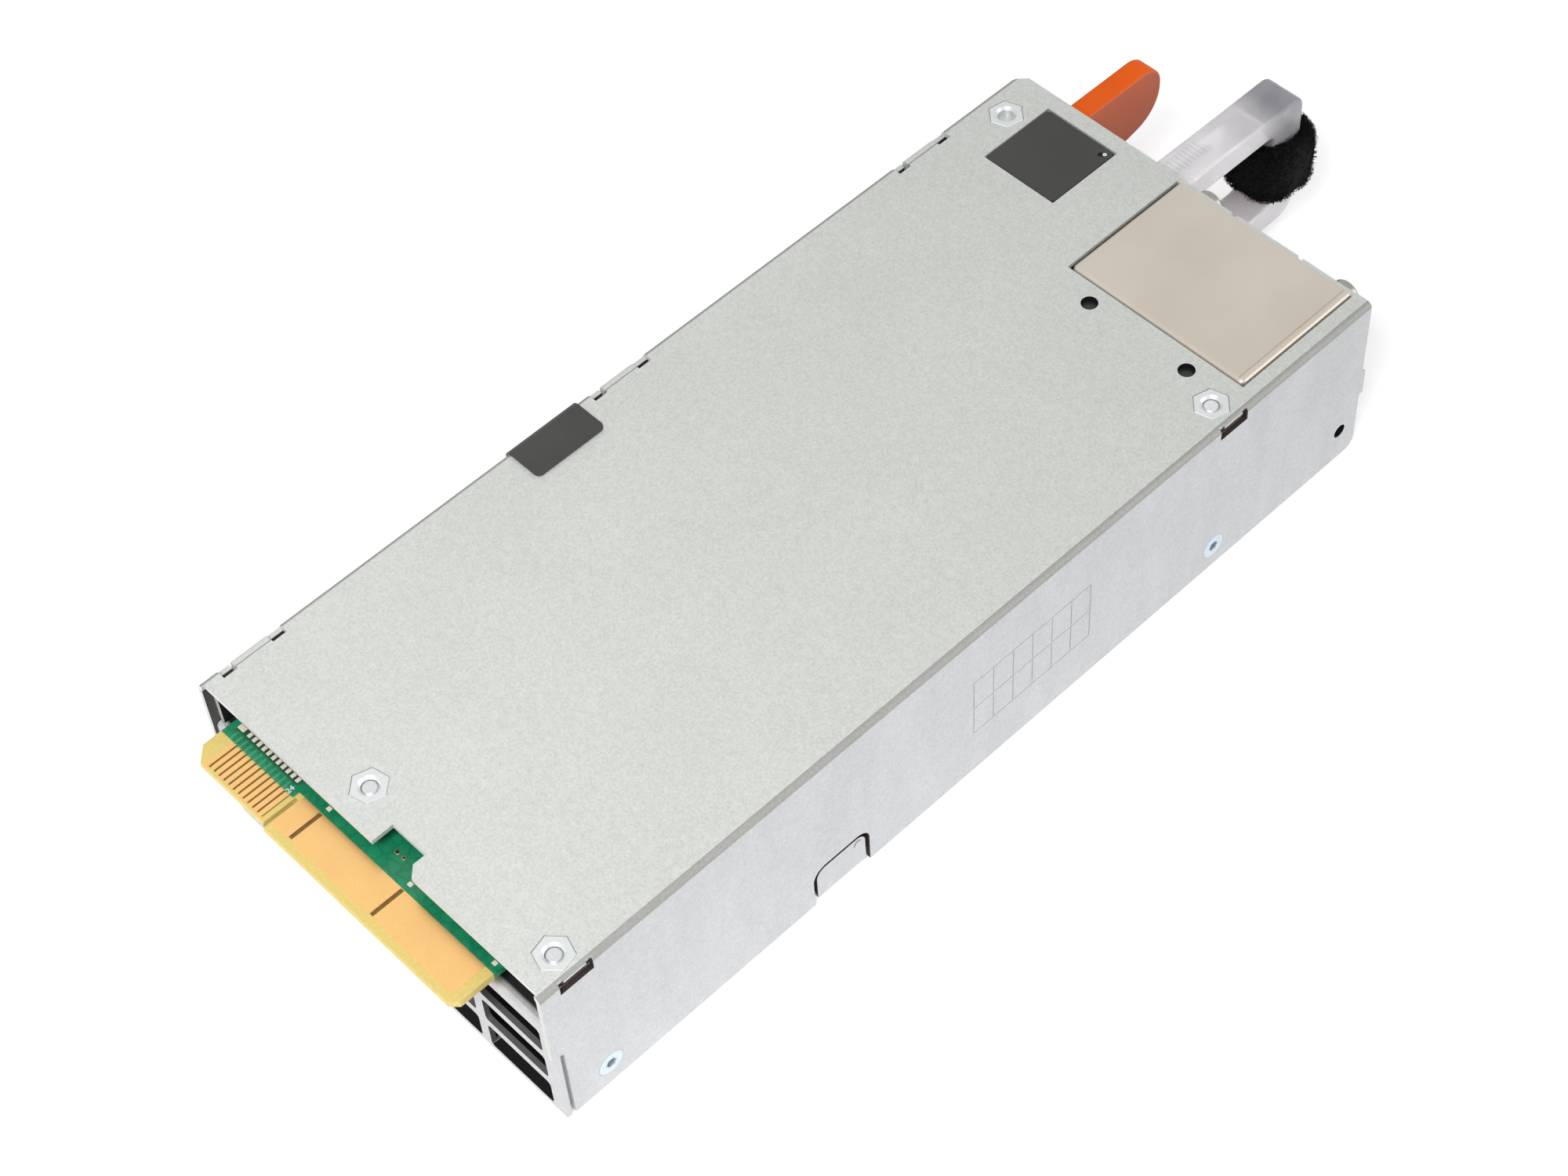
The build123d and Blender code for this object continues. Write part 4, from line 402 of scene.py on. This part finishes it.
# Materials by the record's slots, each given to every node that names its slot.
MATERIALS = {
    "galvanised_steel": galvanised("galvanised_sheet", (0.615, 0.63, 0.598)),
    "tinned_steel": tin("tinned_sheet"),
    "inlet_plastic": plastic("inlet_nylon", BLACK, 0.42),
    "nickel": metal("nickel_plate", (0.70, 0.68, 0.64), 0.22),
    "blue_zinc": metal("blue_zinc_plate", (0.56, 0.62, 0.68), 0.28),
    "fan_plastic": plastic("fan_nylon", (0.010, 0.010, 0.011), 0.45),
    "plain_steel": metal("ground_steel", (0.52, 0.53, 0.55), 0.3),
    "bearing_steel": metal("bearing_steel", (0.66, 0.67, 0.69), 0.15),
    "lamination": metal("laminated_iron", (0.30, 0.27, 0.24), 0.4, stretch=(1, 0.1, 1)),
    "foam": plastic("cell_foam", (0.012, 0.012, 0.012), 0.9, 0.6, 0.15),
    "lever_plastic": plastic("lever_nylon", (0.85, 0.12, 0.008), 0.55, 0.3, 0.012, 0.05, 0.12),
    "spring_steel": metal("spring_strip", (0.58, 0.59, 0.60), 0.25, stretch=(1, 20, 1)),
    "clear_plastic": clear_material(),
    "strap_fabric": fabric_material(),
    "board": board_material(),
    "gold": metal("gold_plate", (0.96, 0.60, 0.235), 0.34, vary=0.04),
    "film": plastic("insulating_film", BLACK, 0.35),
    "nut_steel": metal("nut_zinc", (0.70, 0.725, 0.72), 0.4, vary=0.04, metallic=0.6),
    "pad": plastic("pad_film", (0.044, 0.043, 0.041), 0.42, 0.35, 0.01, 0.12, 0.35),
    "capacitor_sleeve": plastic("shrink_sleeve", (0.012, 0.015, 0.03), 0.25),
    "toroid": plastic("powder_core", (0.09, 0.13, 0.08), 0.55),
    "copper": metal("enamelled_copper", (0.55, 0.20, 0.08), 0.3, stretch=(1, 1, 0.2)),
    "ferrite": plastic("ferrite", (0.02, 0.02, 0.021), 0.5),
    "coil_tape": plastic("coil_tape", (0.62, 0.42, 0.05), 0.3),
    "aluminium": metal("extruded_aluminium", (0.62, 0.63, 0.64), 0.35, stretch=(1, 20, 1)),
    "epoxy": plastic("moulding_compound", (0.012, 0.012, 0.012), 0.5),
    "can_aluminium": metal("can_aluminium", (0.66, 0.67, 0.68), 0.3),
    "bus_copper": metal("bar_copper", (0.72, 0.33, 0.18), 0.3, stretch=(1, 20, 1)),
    "relay_plastic": plastic("relay_case", (0.02, 0.06, 0.25), 0.3),
    "fuse_ceramic": plastic("fuse_tube", (0.75, 0.74, 0.70), 0.35),
    "film_cap_plastic": plastic("capacitor_case", (0.60, 0.42, 0.03), 0.3),
    "lamp": plastic("lamp_lens", (0.12, 0.55, 0.12), 0.15),
}

slot_of = {p["node"]: p["material_slot"] for p in frame["record"]["subparts"]}
for name, obj in nodes.items():
    obj.data.materials.clear()
    obj.data.materials.append(MATERIALS[slot_of[name]])


# Faces of the sheet parts that look different from the rest of their node, most of them with
# painted shade

# Outer faces of the walls: a darker copy of the sheet, painted shade on the sides, with faint
# upright streaks and rubs.
shaded_wall_sheet = galvanised("galvanised_wall_painted_shade", (0.565, 0.570, 0.582), 0.14, streaks=0.05)
# Folds along the roof: a dark copy of the sheet, painted shade in the crease, with heavy rubs.
fold_shade_sheet = galvanised("galvanised_fold_painted_shade", (0.34, 0.343, 0.32), 0.4)
# Grille plate: painted shade, nearly black inward of y 96.7, so its inside reads dark.
grille_sheet = galvanised("galvanised_grille", (0.56, 0.56, 0.575), shade_span=(96.7, 97.3))
# Outer faces of the panel's side flanges, seen in the slit and through the wall hole: painted
# shade, nearly black inward of y -96.0.
panel_flange_shade = galvanised("galvanised_flange_painted_shade", (0.58, 0.59, 0.58), shade_span=(-96.0, -96.6))
# Faces inside the grille's openings: near black, painted shade of the case's inside.
opening_shade = plastic("grille_web_edge_painted_shade", (0.10, 0.098, 0.105), 0.5, 0.4, 0.01, specular=0.3)
cut_edge = metal("cut_edge", (0.70, 0.685, 0.70), 0.5, vary=0.06, metallic=0.2)
# Painted shade: near black on the roof's underside, the cover's inside, the round holes, the
# grille's foot and the via bores.
painted_shade_black = plastic("black_painted_shade", BLACK, 0.85, 0.4, 0.01, specular=0.1)
# Inner faces of the shell's walls: dark grey, painted shade.
wall_painted_shade = plastic("wall_painted_shade", (0.075, 0.073, 0.072), 0.6, 0.4, 0.01, specular=0.2)
# Painted shade, dark brown: the cut faces of the notch and of the near fold's slots, and the
# cover's tabs in them.
edge_painted_shade = plastic("edge_painted_shade", (0.050, 0.036, 0.032), 0.7, 0.4, 0.02, 0.25, specular=0.15)
# Side faces of the lever: a darker copy of its orange, painted shade.
lever_side_shade = plastic("lever_side_shade", (0.58, 0.14, 0.065), 0.5, 0.3, 0.012, 0.05, specular=0.3)

FACING = 0.7  # a face looks along an axis when its normal has more than this there
EDGE_ON = 0.5  # a cut face's normal has less than this across the sheet
FOLD_TILT = 0.12  # a fold's faces have more than this both up and sideways
FOLD_END = 0.995  # and less than this sideways
NEAR_WALL = -40.8  # faces further out than this belong to the near wall
PANEL_SIDE = -39  # faces further out belong to the panel's flange on that side
ROOF = 37.5  # faces higher than this belong to the roof
FOLD_FOOT = 37  # z at which the folds along the roof start
COVER_FLOOR = 1.2  # faces of the cover lower than this belong to its floor
COVER_TABS = 36.2  # and those higher than this to its tabs in the fold slots
GRILLE_FOOT = 2.1  # height of the faces under the grille's lowest openings
GRILLE_FACE = 97  # y of the outlet grille's plate
SHELL_INNER_WALLS = (41.9, 42.1)  # inner faces of the shell's walls
COVER_INNER_WALLS = (40.9, 41.1)  # inner faces of the cover's walls
NOTCH_Y, NOTCH_Z = (28.5, 42.5), (2, 10.5)
SLOT_Z = (35.5, 38.2)
ROOF_HOLES_X, ROOF_HOLES_Y = (-33, -4), (-66.2, -62.2)
WALL_HOLE_Y, WALL_HOLE_Z = (-95.8, -91.8), (5.6, 9.6)
OPENINGS_X, OPENINGS_Z = (-41, 41), (1.5, 27.4)


def paint_faces(node, material, test):
    """Gives a node's faces that pass the test a material of their own."""
    mesh = nodes[node].data
    mesh.materials.append(material)
    index = len(mesh.materials) - 1
    for face in mesh.polygons:
        if test(face.center / MM, face.normal):
            face.material_index = index


def inside(value, limits):
    return limits[0] < value < limits[1]


def faces_sideways(place, normal):
    return abs(normal.x) > FACING


def faces_out(place, normal):
    return faces_sideways(place, normal) and normal.x * place.x > 0


def faces_in(place, normal):
    return faces_sideways(place, normal) and normal.x * place.x < 0


def on_inner_walls(planes):
    """A test for the inner faces of both walls."""
    return lambda place, normal: faces_in(place, normal) and inside(abs(place.x), planes)


def cut_in_near_wall(place, normal):
    return place.x < NEAR_WALL and abs(normal.x) < EDGE_ON


def on_fold(place, normal):
    tilted = normal.z > FOLD_TILT and inside(abs(normal.x), (FOLD_TILT, FOLD_END))
    return tilted and place.z > FOLD_FOOT


def in_notch(place, normal):
    """Cut faces of the notch in the near wall and of the tab in it."""
    in_range = inside(place.y, NOTCH_Y) and inside(place.z, NOTCH_Z)
    return in_range and cut_in_near_wall(place, normal)


def in_near_slot(place, normal):
    """Cut faces of the two slots in the near fold."""
    in_range = inside(place.z, SLOT_Z) and place.y < GRILLE_FACE
    return in_range and cut_in_near_wall(place, normal)


def in_round_hole(place, normal):
    """Round the two vent holes of the roof and the one in the near wall."""
    if inside(place.y, WALL_HOLE_Y) and inside(place.z, WALL_HOLE_Z):
        return cut_in_near_wall(place, normal)
    in_range = inside(place.x, ROOF_HOLES_X) and inside(place.y, ROOF_HOLES_Y)
    return in_range and place.z > ROOF and abs(normal.z) < EDGE_ON


def in_grille_opening(place, normal):
    """Edges of the outlet openings, which lie in the plate's thickness."""
    in_range = inside(place.x, OPENINGS_X) and inside(place.z, OPENINGS_Z)
    return in_range and place.y > GRILLE_FACE and abs(normal.y) < EDGE_ON


paint_faces("case_shell", shaded_wall_sheet, faces_out)
paint_faces("case_shell", fold_shade_sheet, on_fold)
paint_faces("case_shell", cut_edge, lambda p, n: n.y > FACING and p.z > FOLD_FOOT)
paint_faces("case_shell", wall_painted_shade, on_inner_walls(SHELL_INNER_WALLS))
paint_faces("case_shell", painted_shade_black, lambda p, n: n.z < -FACING and p.z > ROOF)
paint_faces("case_shell", edge_painted_shade, in_notch)
paint_faces("case_shell", edge_painted_shade, in_near_slot)
paint_faces("case_shell", painted_shade_black, in_round_hole)
paint_faces("bottom_cover", shaded_wall_sheet, faces_out)
paint_faces("bottom_cover", painted_shade_black, on_inner_walls(COVER_INNER_WALLS))
paint_faces("bottom_cover", painted_shade_black, lambda p, n: n.z > FACING and p.z < COVER_FLOOR)
paint_faces("bottom_cover", edge_painted_shade, lambda p, n: p.x < NEAR_WALL and p.z > COVER_TABS)
paint_faces("bottom_cover", edge_painted_shade, in_notch)
paint_faces("bottom_cover", painted_shade_black, in_round_hole)
nodes["outlet_grille"].data.materials[0] = grille_sheet
paint_faces("outlet_grille", opening_shade, in_grille_opening)
paint_faces("outlet_grille", painted_shade_black, lambda p, n: n.z > FACING and p.z < GRILLE_FOOT)
paint_faces("front_panel", panel_flange_shade, lambda p, n: faces_out(p, n) and p.x < PANEL_SIDE)
paint_faces("latch_lever", lever_side_shade, faces_sideways)

for name, material in (
    ("wall_screws", wall_screw_material()),
    ("board_screws", metal("bright_zinc", (0.72, 0.73, 0.74), 0.36, vary=0.05)),
    ("inlet_screws", metal("dull_nickel", (0.34, 0.33, 0.30), 0.25)),
    ("handle_screws", thread_material()),
):
    nodes[name].data.materials[0] = material


# Piece helpers


def new_object(name, mesh, slot_name, material=None):
    """A piece that rides on the frame."""
    obj = bpy.data.objects.new(name, mesh)
    bpy.context.scene.collection.objects.link(obj)
    obj.data.materials.append(material or MATERIALS[slot_name])
    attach(obj, "frame")
    return obj


def mesh_from(bm, name):
    mesh = bpy.data.meshes.new(name)
    bm.to_mesh(mesh)
    bm.free()
    return mesh


def loop_pairs(first, second):
    """Neighbours on two closed loops: each point and the next one, on both."""
    for i in range(len(first)):
        j = (i + 1) % len(first)
        yield first[i], first[j], second[i], second[j]


# Strap: knitted ring round the handle's bar

STRAP_THICKNESS = 3.2
PILE_ROOM = 0.4  # left outside the ring for its pile
STRAP_HEIGHT = 0.97  # share of the CAD ring's height
SECTION_POWER = 0.45  # 1 gives an ellipse, less gives flatter ends
RIM_WAVE = 0.4
STRAP_ROWS = 26  # points round the strap's section
STRAP_STEPS = 120  # sections round the bar
CORNER_POWER = 3.2  # 2 gives an ellipse, more gives squarer corners
WEAVE_LOW, WEAVE_HIGH = -0.1, 0.3  # unevenness of the weave, outward
PILE_THREADS = 6500
THREAD_ROOT = 0.1  # depth in the weave at which a thread starts
THREAD_HALF_WIDTH = 0.06
REACH_LOW, REACH_HIGH = 0.25, 0.75
SPREAD_LOW, SPREAD_HIGH = 0.2, 0.6
# Points of one curled thread, as shares of its reach and of its sideways spread
THREAD_CURL = ((0.8, 0.3), (1.0, 1.0), (0.45, 1.6))


def rim(angle, half_x, half_y):
    """A point on a rounded rectangle."""
    c, s = math.cos(angle), math.sin(angle)
    x = math.copysign(abs(c) ** (2 / CORNER_POWER), c) * half_x
    y = math.copysign(abs(s) ** (2 / CORNER_POWER), s) * half_y
    return x, y


def make_strap():
    """Wound ring with a short pile, in place of the plain CAD ring."""
    low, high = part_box("cable_strap")
    middle = [(a + b) / 2 for a, b in zip(low, high)]
    half = [(b - a) / 2 for a, b in zip(low, high)]
    outer = (half[X] - PILE_ROOM * MM, half[Y] - PILE_ROOM * MM)
    rng = random.Random(7)
    bm = bmesh.new()
    profile = []
    for row in range(STRAP_ROWS):
        t = TURN * row / STRAP_ROWS
        profile.append((math.cos(t), math.sin(t)))
    rings = []
    for step in range(STRAP_STEPS):
        angle = TURN * step / STRAP_STEPS
        ring = []
        for across, up in profile:
            depth = (1 - across) / 2 * STRAP_THICKNESS * MM
            x, y = rim(angle, outer[X] - depth, outer[Y] - depth)
            bulge = math.copysign(abs(up) ** SECTION_POWER, up)
            z = middle[Z] + bulge * half[Z] * STRAP_HEIGHT
            z += RIM_WAVE * MM * math.sin(3 * angle)
            ring.append(bm.verts.new((middle[X] + x, middle[Y] + y, z)))
        rings.append(ring)
    for a, b in zip(rings, rings[1:] + rings[:1]):
        for a_here, a_next, b_here, b_next in loop_pairs(a, b):
            bm.faces.new((a_here, b_here, b_next, a_next))
    bmesh.ops.recalc_face_normals(bm, faces=bm.faces)
    bm.normal_update()
    for vert in bm.verts:
        vert.co += vert.normal * rng.uniform(WEAVE_LOW * MM, WEAVE_HIGH * MM)
    for face in bm.faces:
        face.smooth = True
    strap = new_object("strap", mesh_from(bm, "strap"), "strap_fabric")
    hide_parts("cable_strap")
    return strap


def make_strap_pile(strap):
    """Small curled threads that stand out of the strap's pile."""
    rng = random.Random(11)
    mesh = strap.data
    faces = list(mesh.polygons)
    bm = bmesh.new()
    for _ in range(PILE_THREADS):
        face = rng.choice(faces)
        corners = [mesh.vertices[i].co for i in face.vertices]
        u, v = rng.random(), rng.random()
        base = corners[0].lerp(corners[1], u).lerp(corners[3].lerp(corners[2], u), v)
        normal = face.normal
        side = normal.orthogonal().normalized()
        side = Matrix.Rotation(rng.uniform(0, TURN), 3, normal) @ side
        reach = rng.uniform(REACH_LOW * MM, REACH_HIGH * MM)
        width = side.cross(normal) * (THREAD_HALF_WIDTH * MM)
        spread = side * rng.uniform(SPREAD_LOW * MM, SPREAD_HIGH * MM)
        points = [base - normal * (THREAD_ROOT * MM)]
        for out, sideways in THREAD_CURL:
            points.append(base + normal * reach * out + spread * sideways)
        last = None
        for point in points:
            pair = (bm.verts.new(point - width), bm.verts.new(point + width))
            if last:
                bm.faces.new((last[0], last[1], pair[1], pair[0]))
            last = pair
    pile = new_object("strap_pile", mesh_from(bm, "strap_pile"), "strap_fabric")


make_strap_pile(make_strap())


# Board details

PAD_HEIGHT = 0.12
PAD_ROW, PAD_HALF = (97.5, 98.5), 0.37  # range on Y, and half a pad's width
FIRST_PAD, PAD_COUNT = 31.35, 11
WIDE_PAD = (32.6, 34.2)
LONE_PADS, LONE_ROW, LONE_HALF = (10.6, -9.9, -30.5), (97.6, 98.4), 0.45
PLATE_EASE = 0.3  # bevel as a share of a plate's least side
RING_HEIGHT = 0.03
RING_CROWN = 0.92  # share of the outer radius at which a ring starts to fall
RING_STEPS = 24
NUMBER_PLACE, NUMBER_SIZE = (18.15, 100.1), 1.5
PRINT_THICKNESS = 0.01
PRINT_LIFT = 0.02
# x, y, inner radius and outer radius
VIAS = ((-3.7, 95.5, 0.26, 0.5), (-5.3, 95.5, 0.2, 0.42))
BORE_POINT, BORE_DROP = 0.02, 0.01  # a painted shade disc's inner radius and its depth, down in each via
EYELET_RADII, EYELET_DROP = (0.12, 0.42), 0.02
EYELET_OFFSET = 7.1  # of the window pad's eyelet from the pad's middle, on X and on Y


def flat_plates(name, boxes, slot_name, material):
    """Thin plates given as (x, y, z) ranges, with eased edges."""
    bm = bmesh.new()
    for box in boxes:
        verts = bmesh.ops.create_cube(bm, size=1.0)["verts"]
        size = [(b - a) * MM for a, b in box]
        centre = [(a + b) / 2 * MM for a, b in box]
        bmesh.ops.scale(bm, vec=size, verts=verts)
        bmesh.ops.translate(bm, vec=centre, verts=verts)
        edges = [e for e in bm.edges if all(v in verts for v in e.verts)]
        bmesh.ops.bevel(
            bm,
            geom=edges,
            offset=min(size) * PLATE_EASE,
            segments=1,
            affect="EDGES",
            clamp_overlap=True,
        )
    new_object(name, mesh_from(bm, name), slot_name, material)


def flat_rings(name, rings, z, slot_name, material):
    """Flat rings given as (x, y, inner radius, outer radius)."""
    bm = bmesh.new()
    for x, y, inner, outer in rings:
        crown = outer * RING_CROWN
        section = ((inner, 0.0), (inner, RING_HEIGHT), (crown, RING_HEIGHT), (outer, 0.0))
        loops = []
        for radius, height in section:
            loop = []
            for i in range(RING_STEPS):
                a = TURN * i / RING_STEPS
                point = (x + radius * math.cos(a), y + radius * math.sin(a), z + height)
                loop.append(bm.verts.new(Vector(point) * MM))
            loops.append(loop)
        for low, high in zip(loops, loops[1:] + loops[:1]):
            for low_here, low_next, high_here, high_next in loop_pairs(low, high):
                bm.faces.new((low_here, low_next, high_next, high_here))
    bmesh.ops.recalc_face_normals(bm, faces=bm.faces)
    new_object(name, mesh_from(bm, name), slot_name, material)


def pin_number(text, place, size, material):
    """Small printed number that reads along -Y."""
    curve = bpy.data.curves.new("pin_number", "FONT")
    curve.body = text
    curve.size = size * MM
    curve.align_x = "CENTER"
    curve.align_y = "CENTER"
    curve.extrude = PRINT_THICKNESS * MM
    holder = bpy.data.objects.new("pin_number_text", curve)
    mesh = bpy.data.meshes.new_from_object(holder)
    bpy.data.objects.remove(holder)
    turn = Matrix(((0, 1, 0), (-1, 0, 0), (0, 0, 1))).to_4x4()
    mesh.transform(Matrix.Translation(Vector(place) * MM) @ turn)
    mesh.name = "pin_number"
    mesh.materials.clear()
    new_object("pin_number", mesh, "board", material)


def make_board_details():
    """Solder pads, vias and pin number of the board, and the window pad's eyelet."""
    board_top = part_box("main_board")[1][Z] / MM
    solder = plastic("solder_cream", (0.76, 0.72, 0.60), 0.4, 0.3, 0.03)
    print_white = plastic("print_white", (0.78, 0.84, 0.80), 0.6)
    via_tan = metal("via_tan", (0.45, 0.33, 0.17), 0.4)

    height = (board_top, board_top + PAD_HEIGHT)
    pads = [(WIDE_PAD, PAD_ROW, height)]
    for index in range(PAD_COUNT):
        x = FIRST_PAD - CONTACT_PITCH * index
        pads.append(((x - PAD_HALF, x + PAD_HALF), PAD_ROW, height))
    for x in LONE_PADS:
        pads.append(((x - LONE_HALF, x + LONE_HALF), LONE_ROW, height))
    flat_plates("board_pads", pads, "nut_steel", solder)

    flat_rings("board_vias", VIAS, board_top, "gold", via_tan)
    # Dark discs down in the vias: painted shade in their bores.
    bore_shades = [(x, y, BORE_POINT, inner) for x, y, inner, _ in VIAS]
    flat_rings("board_via_bore_shades", bore_shades, board_top - BORE_DROP, "board", painted_shade_black)
    pin_number("24", (*NUMBER_PLACE, board_top + PRINT_LIFT), NUMBER_SIZE, print_white)

    low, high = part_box("window_pad")
    x, y = ((low[axis] + high[axis]) / 2 / MM - EYELET_OFFSET for axis in (X, Y))
    eyelet = [(x, y, *EYELET_RADII)]
    flat_rings("pad_eyelet", eyelet, high[Z] / MM - EYELET_DROP, "nut_steel", print_white)


make_board_details()


# Camera, light and floor

PHOTO_WIDTH = 2000  # pixels
FOCAL_PIXELS = 4030.508
SENSOR_WIDTH = 36.0
CAMERA_PLACE = (-0.25605, 0.22489, 0.46026)  # metres
CAMERA_RIGHT = (-0.6946345943972076, -0.7177516924623537, -0.04811744209799049)
CAMERA_DOWN = (-0.553331599803099, 0.5758569936767337, -0.6018412278109047)
CAMERA_AHEAD = (0.45968132540486084, -0.39143483595743117, -0.7971648814850094)
SOFT_LIGHT, SOFT_STRENGTH = (0.98, 0.985, 1.0), 0.58
WHITE, WHITE_STRENGTH = (1.0, 1.0, 1.0), 1.0
FLOOR_HALF = 3.0  # metres
FLOOR_DROP = 0.3
FLOOR_GLOW = 0.32


def seen_directly(tree):
    """1 for camera rays and for rays that a mirror or clear part sends on, else 0."""
    rays = tree.nodes.new("ShaderNodeLightPath").outputs
    value = rays["Is Camera Ray"]
    for name in ("Is Glossy Ray", "Is Transmission Ray"):
        either = tree.nodes.new("ShaderNodeMath")
        either.operation = "MAXIMUM"
        tree.links.new(value, either.inputs[0])
        tree.links.new(rays[name], either.inputs[1])
        value = either.outputs[0]
    return value


def make_camera(scene):
    """The photograph's camera, as its axes and place were fitted."""
    data = bpy.data.cameras.new("camera")
    data.sensor_width = SENSOR_WIDTH
    data.lens = FOCAL_PIXELS * SENSOR_WIDTH / PHOTO_WIDTH
    data.clip_start = 0.01
    camera = bpy.data.objects.new("camera", data)
    axes = (Vector(CAMERA_RIGHT), -Vector(CAMERA_DOWN), -Vector(CAMERA_AHEAD))
    turn = Matrix(axes).transposed().to_4x4()
    camera.matrix_world = Matrix.Translation(CAMERA_PLACE) @ turn
    scene.collection.objects.link(camera)
    scene.camera = camera
    scene.view_settings.view_transform = "Standard"


def make_world(scene):
    """Soft light on the part, and plain white where the world itself is seen."""
    world = bpy.data.worlds.new("studio")
    scene.world = world
    world.use_nodes = True
    tree = world.node_tree
    tree.nodes.clear()
    output = tree.nodes.new("ShaderNodeOutputWorld")
    mix = tree.nodes.new("ShaderNodeMixShader")
    tree.links.new(seen_directly(tree), mix.inputs[0])
    backgrounds = ((1, SOFT_LIGHT, SOFT_STRENGTH), (2, WHITE, WHITE_STRENGTH))
    for index, color, strength in backgrounds:
        background = tree.nodes.new("ShaderNodeBackground")
        background.inputs["Color"].default_value = (*color, 1.0)
        background.inputs["Strength"].default_value = strength
        tree.links.new(background.outputs[0], mix.inputs[index])
    tree.links.new(mix.outputs[0], output.inputs["Surface"])


def make_lamp(scene, name, place, target, size, power, spread):
    """A round area lamp at a place in metres, aimed at a target."""
    data = bpy.data.lights.new(name, "AREA")
    data.shape = "DISK"
    data.size = size
    data.energy = power
    data.spread = math.radians(spread)
    lamp = bpy.data.objects.new(name, data)
    lamp.location = place
    aim = Vector(target) - Vector(place)
    lamp.rotation_euler = aim.to_track_quat("-Z", "Y").to_euler()
    scene.collection.objects.link(lamp)


def make_floor(scene):
    """Pale floor that takes the shadow and meets the white background."""
    bm = bmesh.new()
    bmesh.ops.create_grid(bm, x_segments=2, y_segments=2, size=FLOOR_HALF)
    floor = bpy.data.objects.new("floor", mesh_from(bm, "floor"))
    floor.location = (0, 0, -FLOOR_DROP * MM)
    scene.collection.objects.link(floor)
    paint = Shader("floor_paint", (0.96, 0.96, 0.96), 0.9, specular=0.1)
    paint.color(paint.ramp(paint.noise(400, 2.0), [(0.3, 0.95), (0.7, 0.97)]))
    glow = paint.math("MULTIPLY", seen_directly(paint.tree), FLOOR_GLOW)
    paint.bsdf.inputs["Emission Color"].default_value = (*WHITE, 1.0)
    paint.link(glow, paint.bsdf.inputs["Emission Strength"])
    floor.data.materials.append(paint.material)


scene = bpy.context.scene
make_camera(scene)
make_world(scene)
make_lamp(scene, "key", (-0.25, 0.55, 0.80), (0, 0.17, 0), size=0.35, power=0.55, spread=45)
make_lamp(scene, "fill", (-0.85, -0.65, 0.32), (0, -0.05, 0), size=0.9, power=3.6, spread=180)
make_floor(scene)
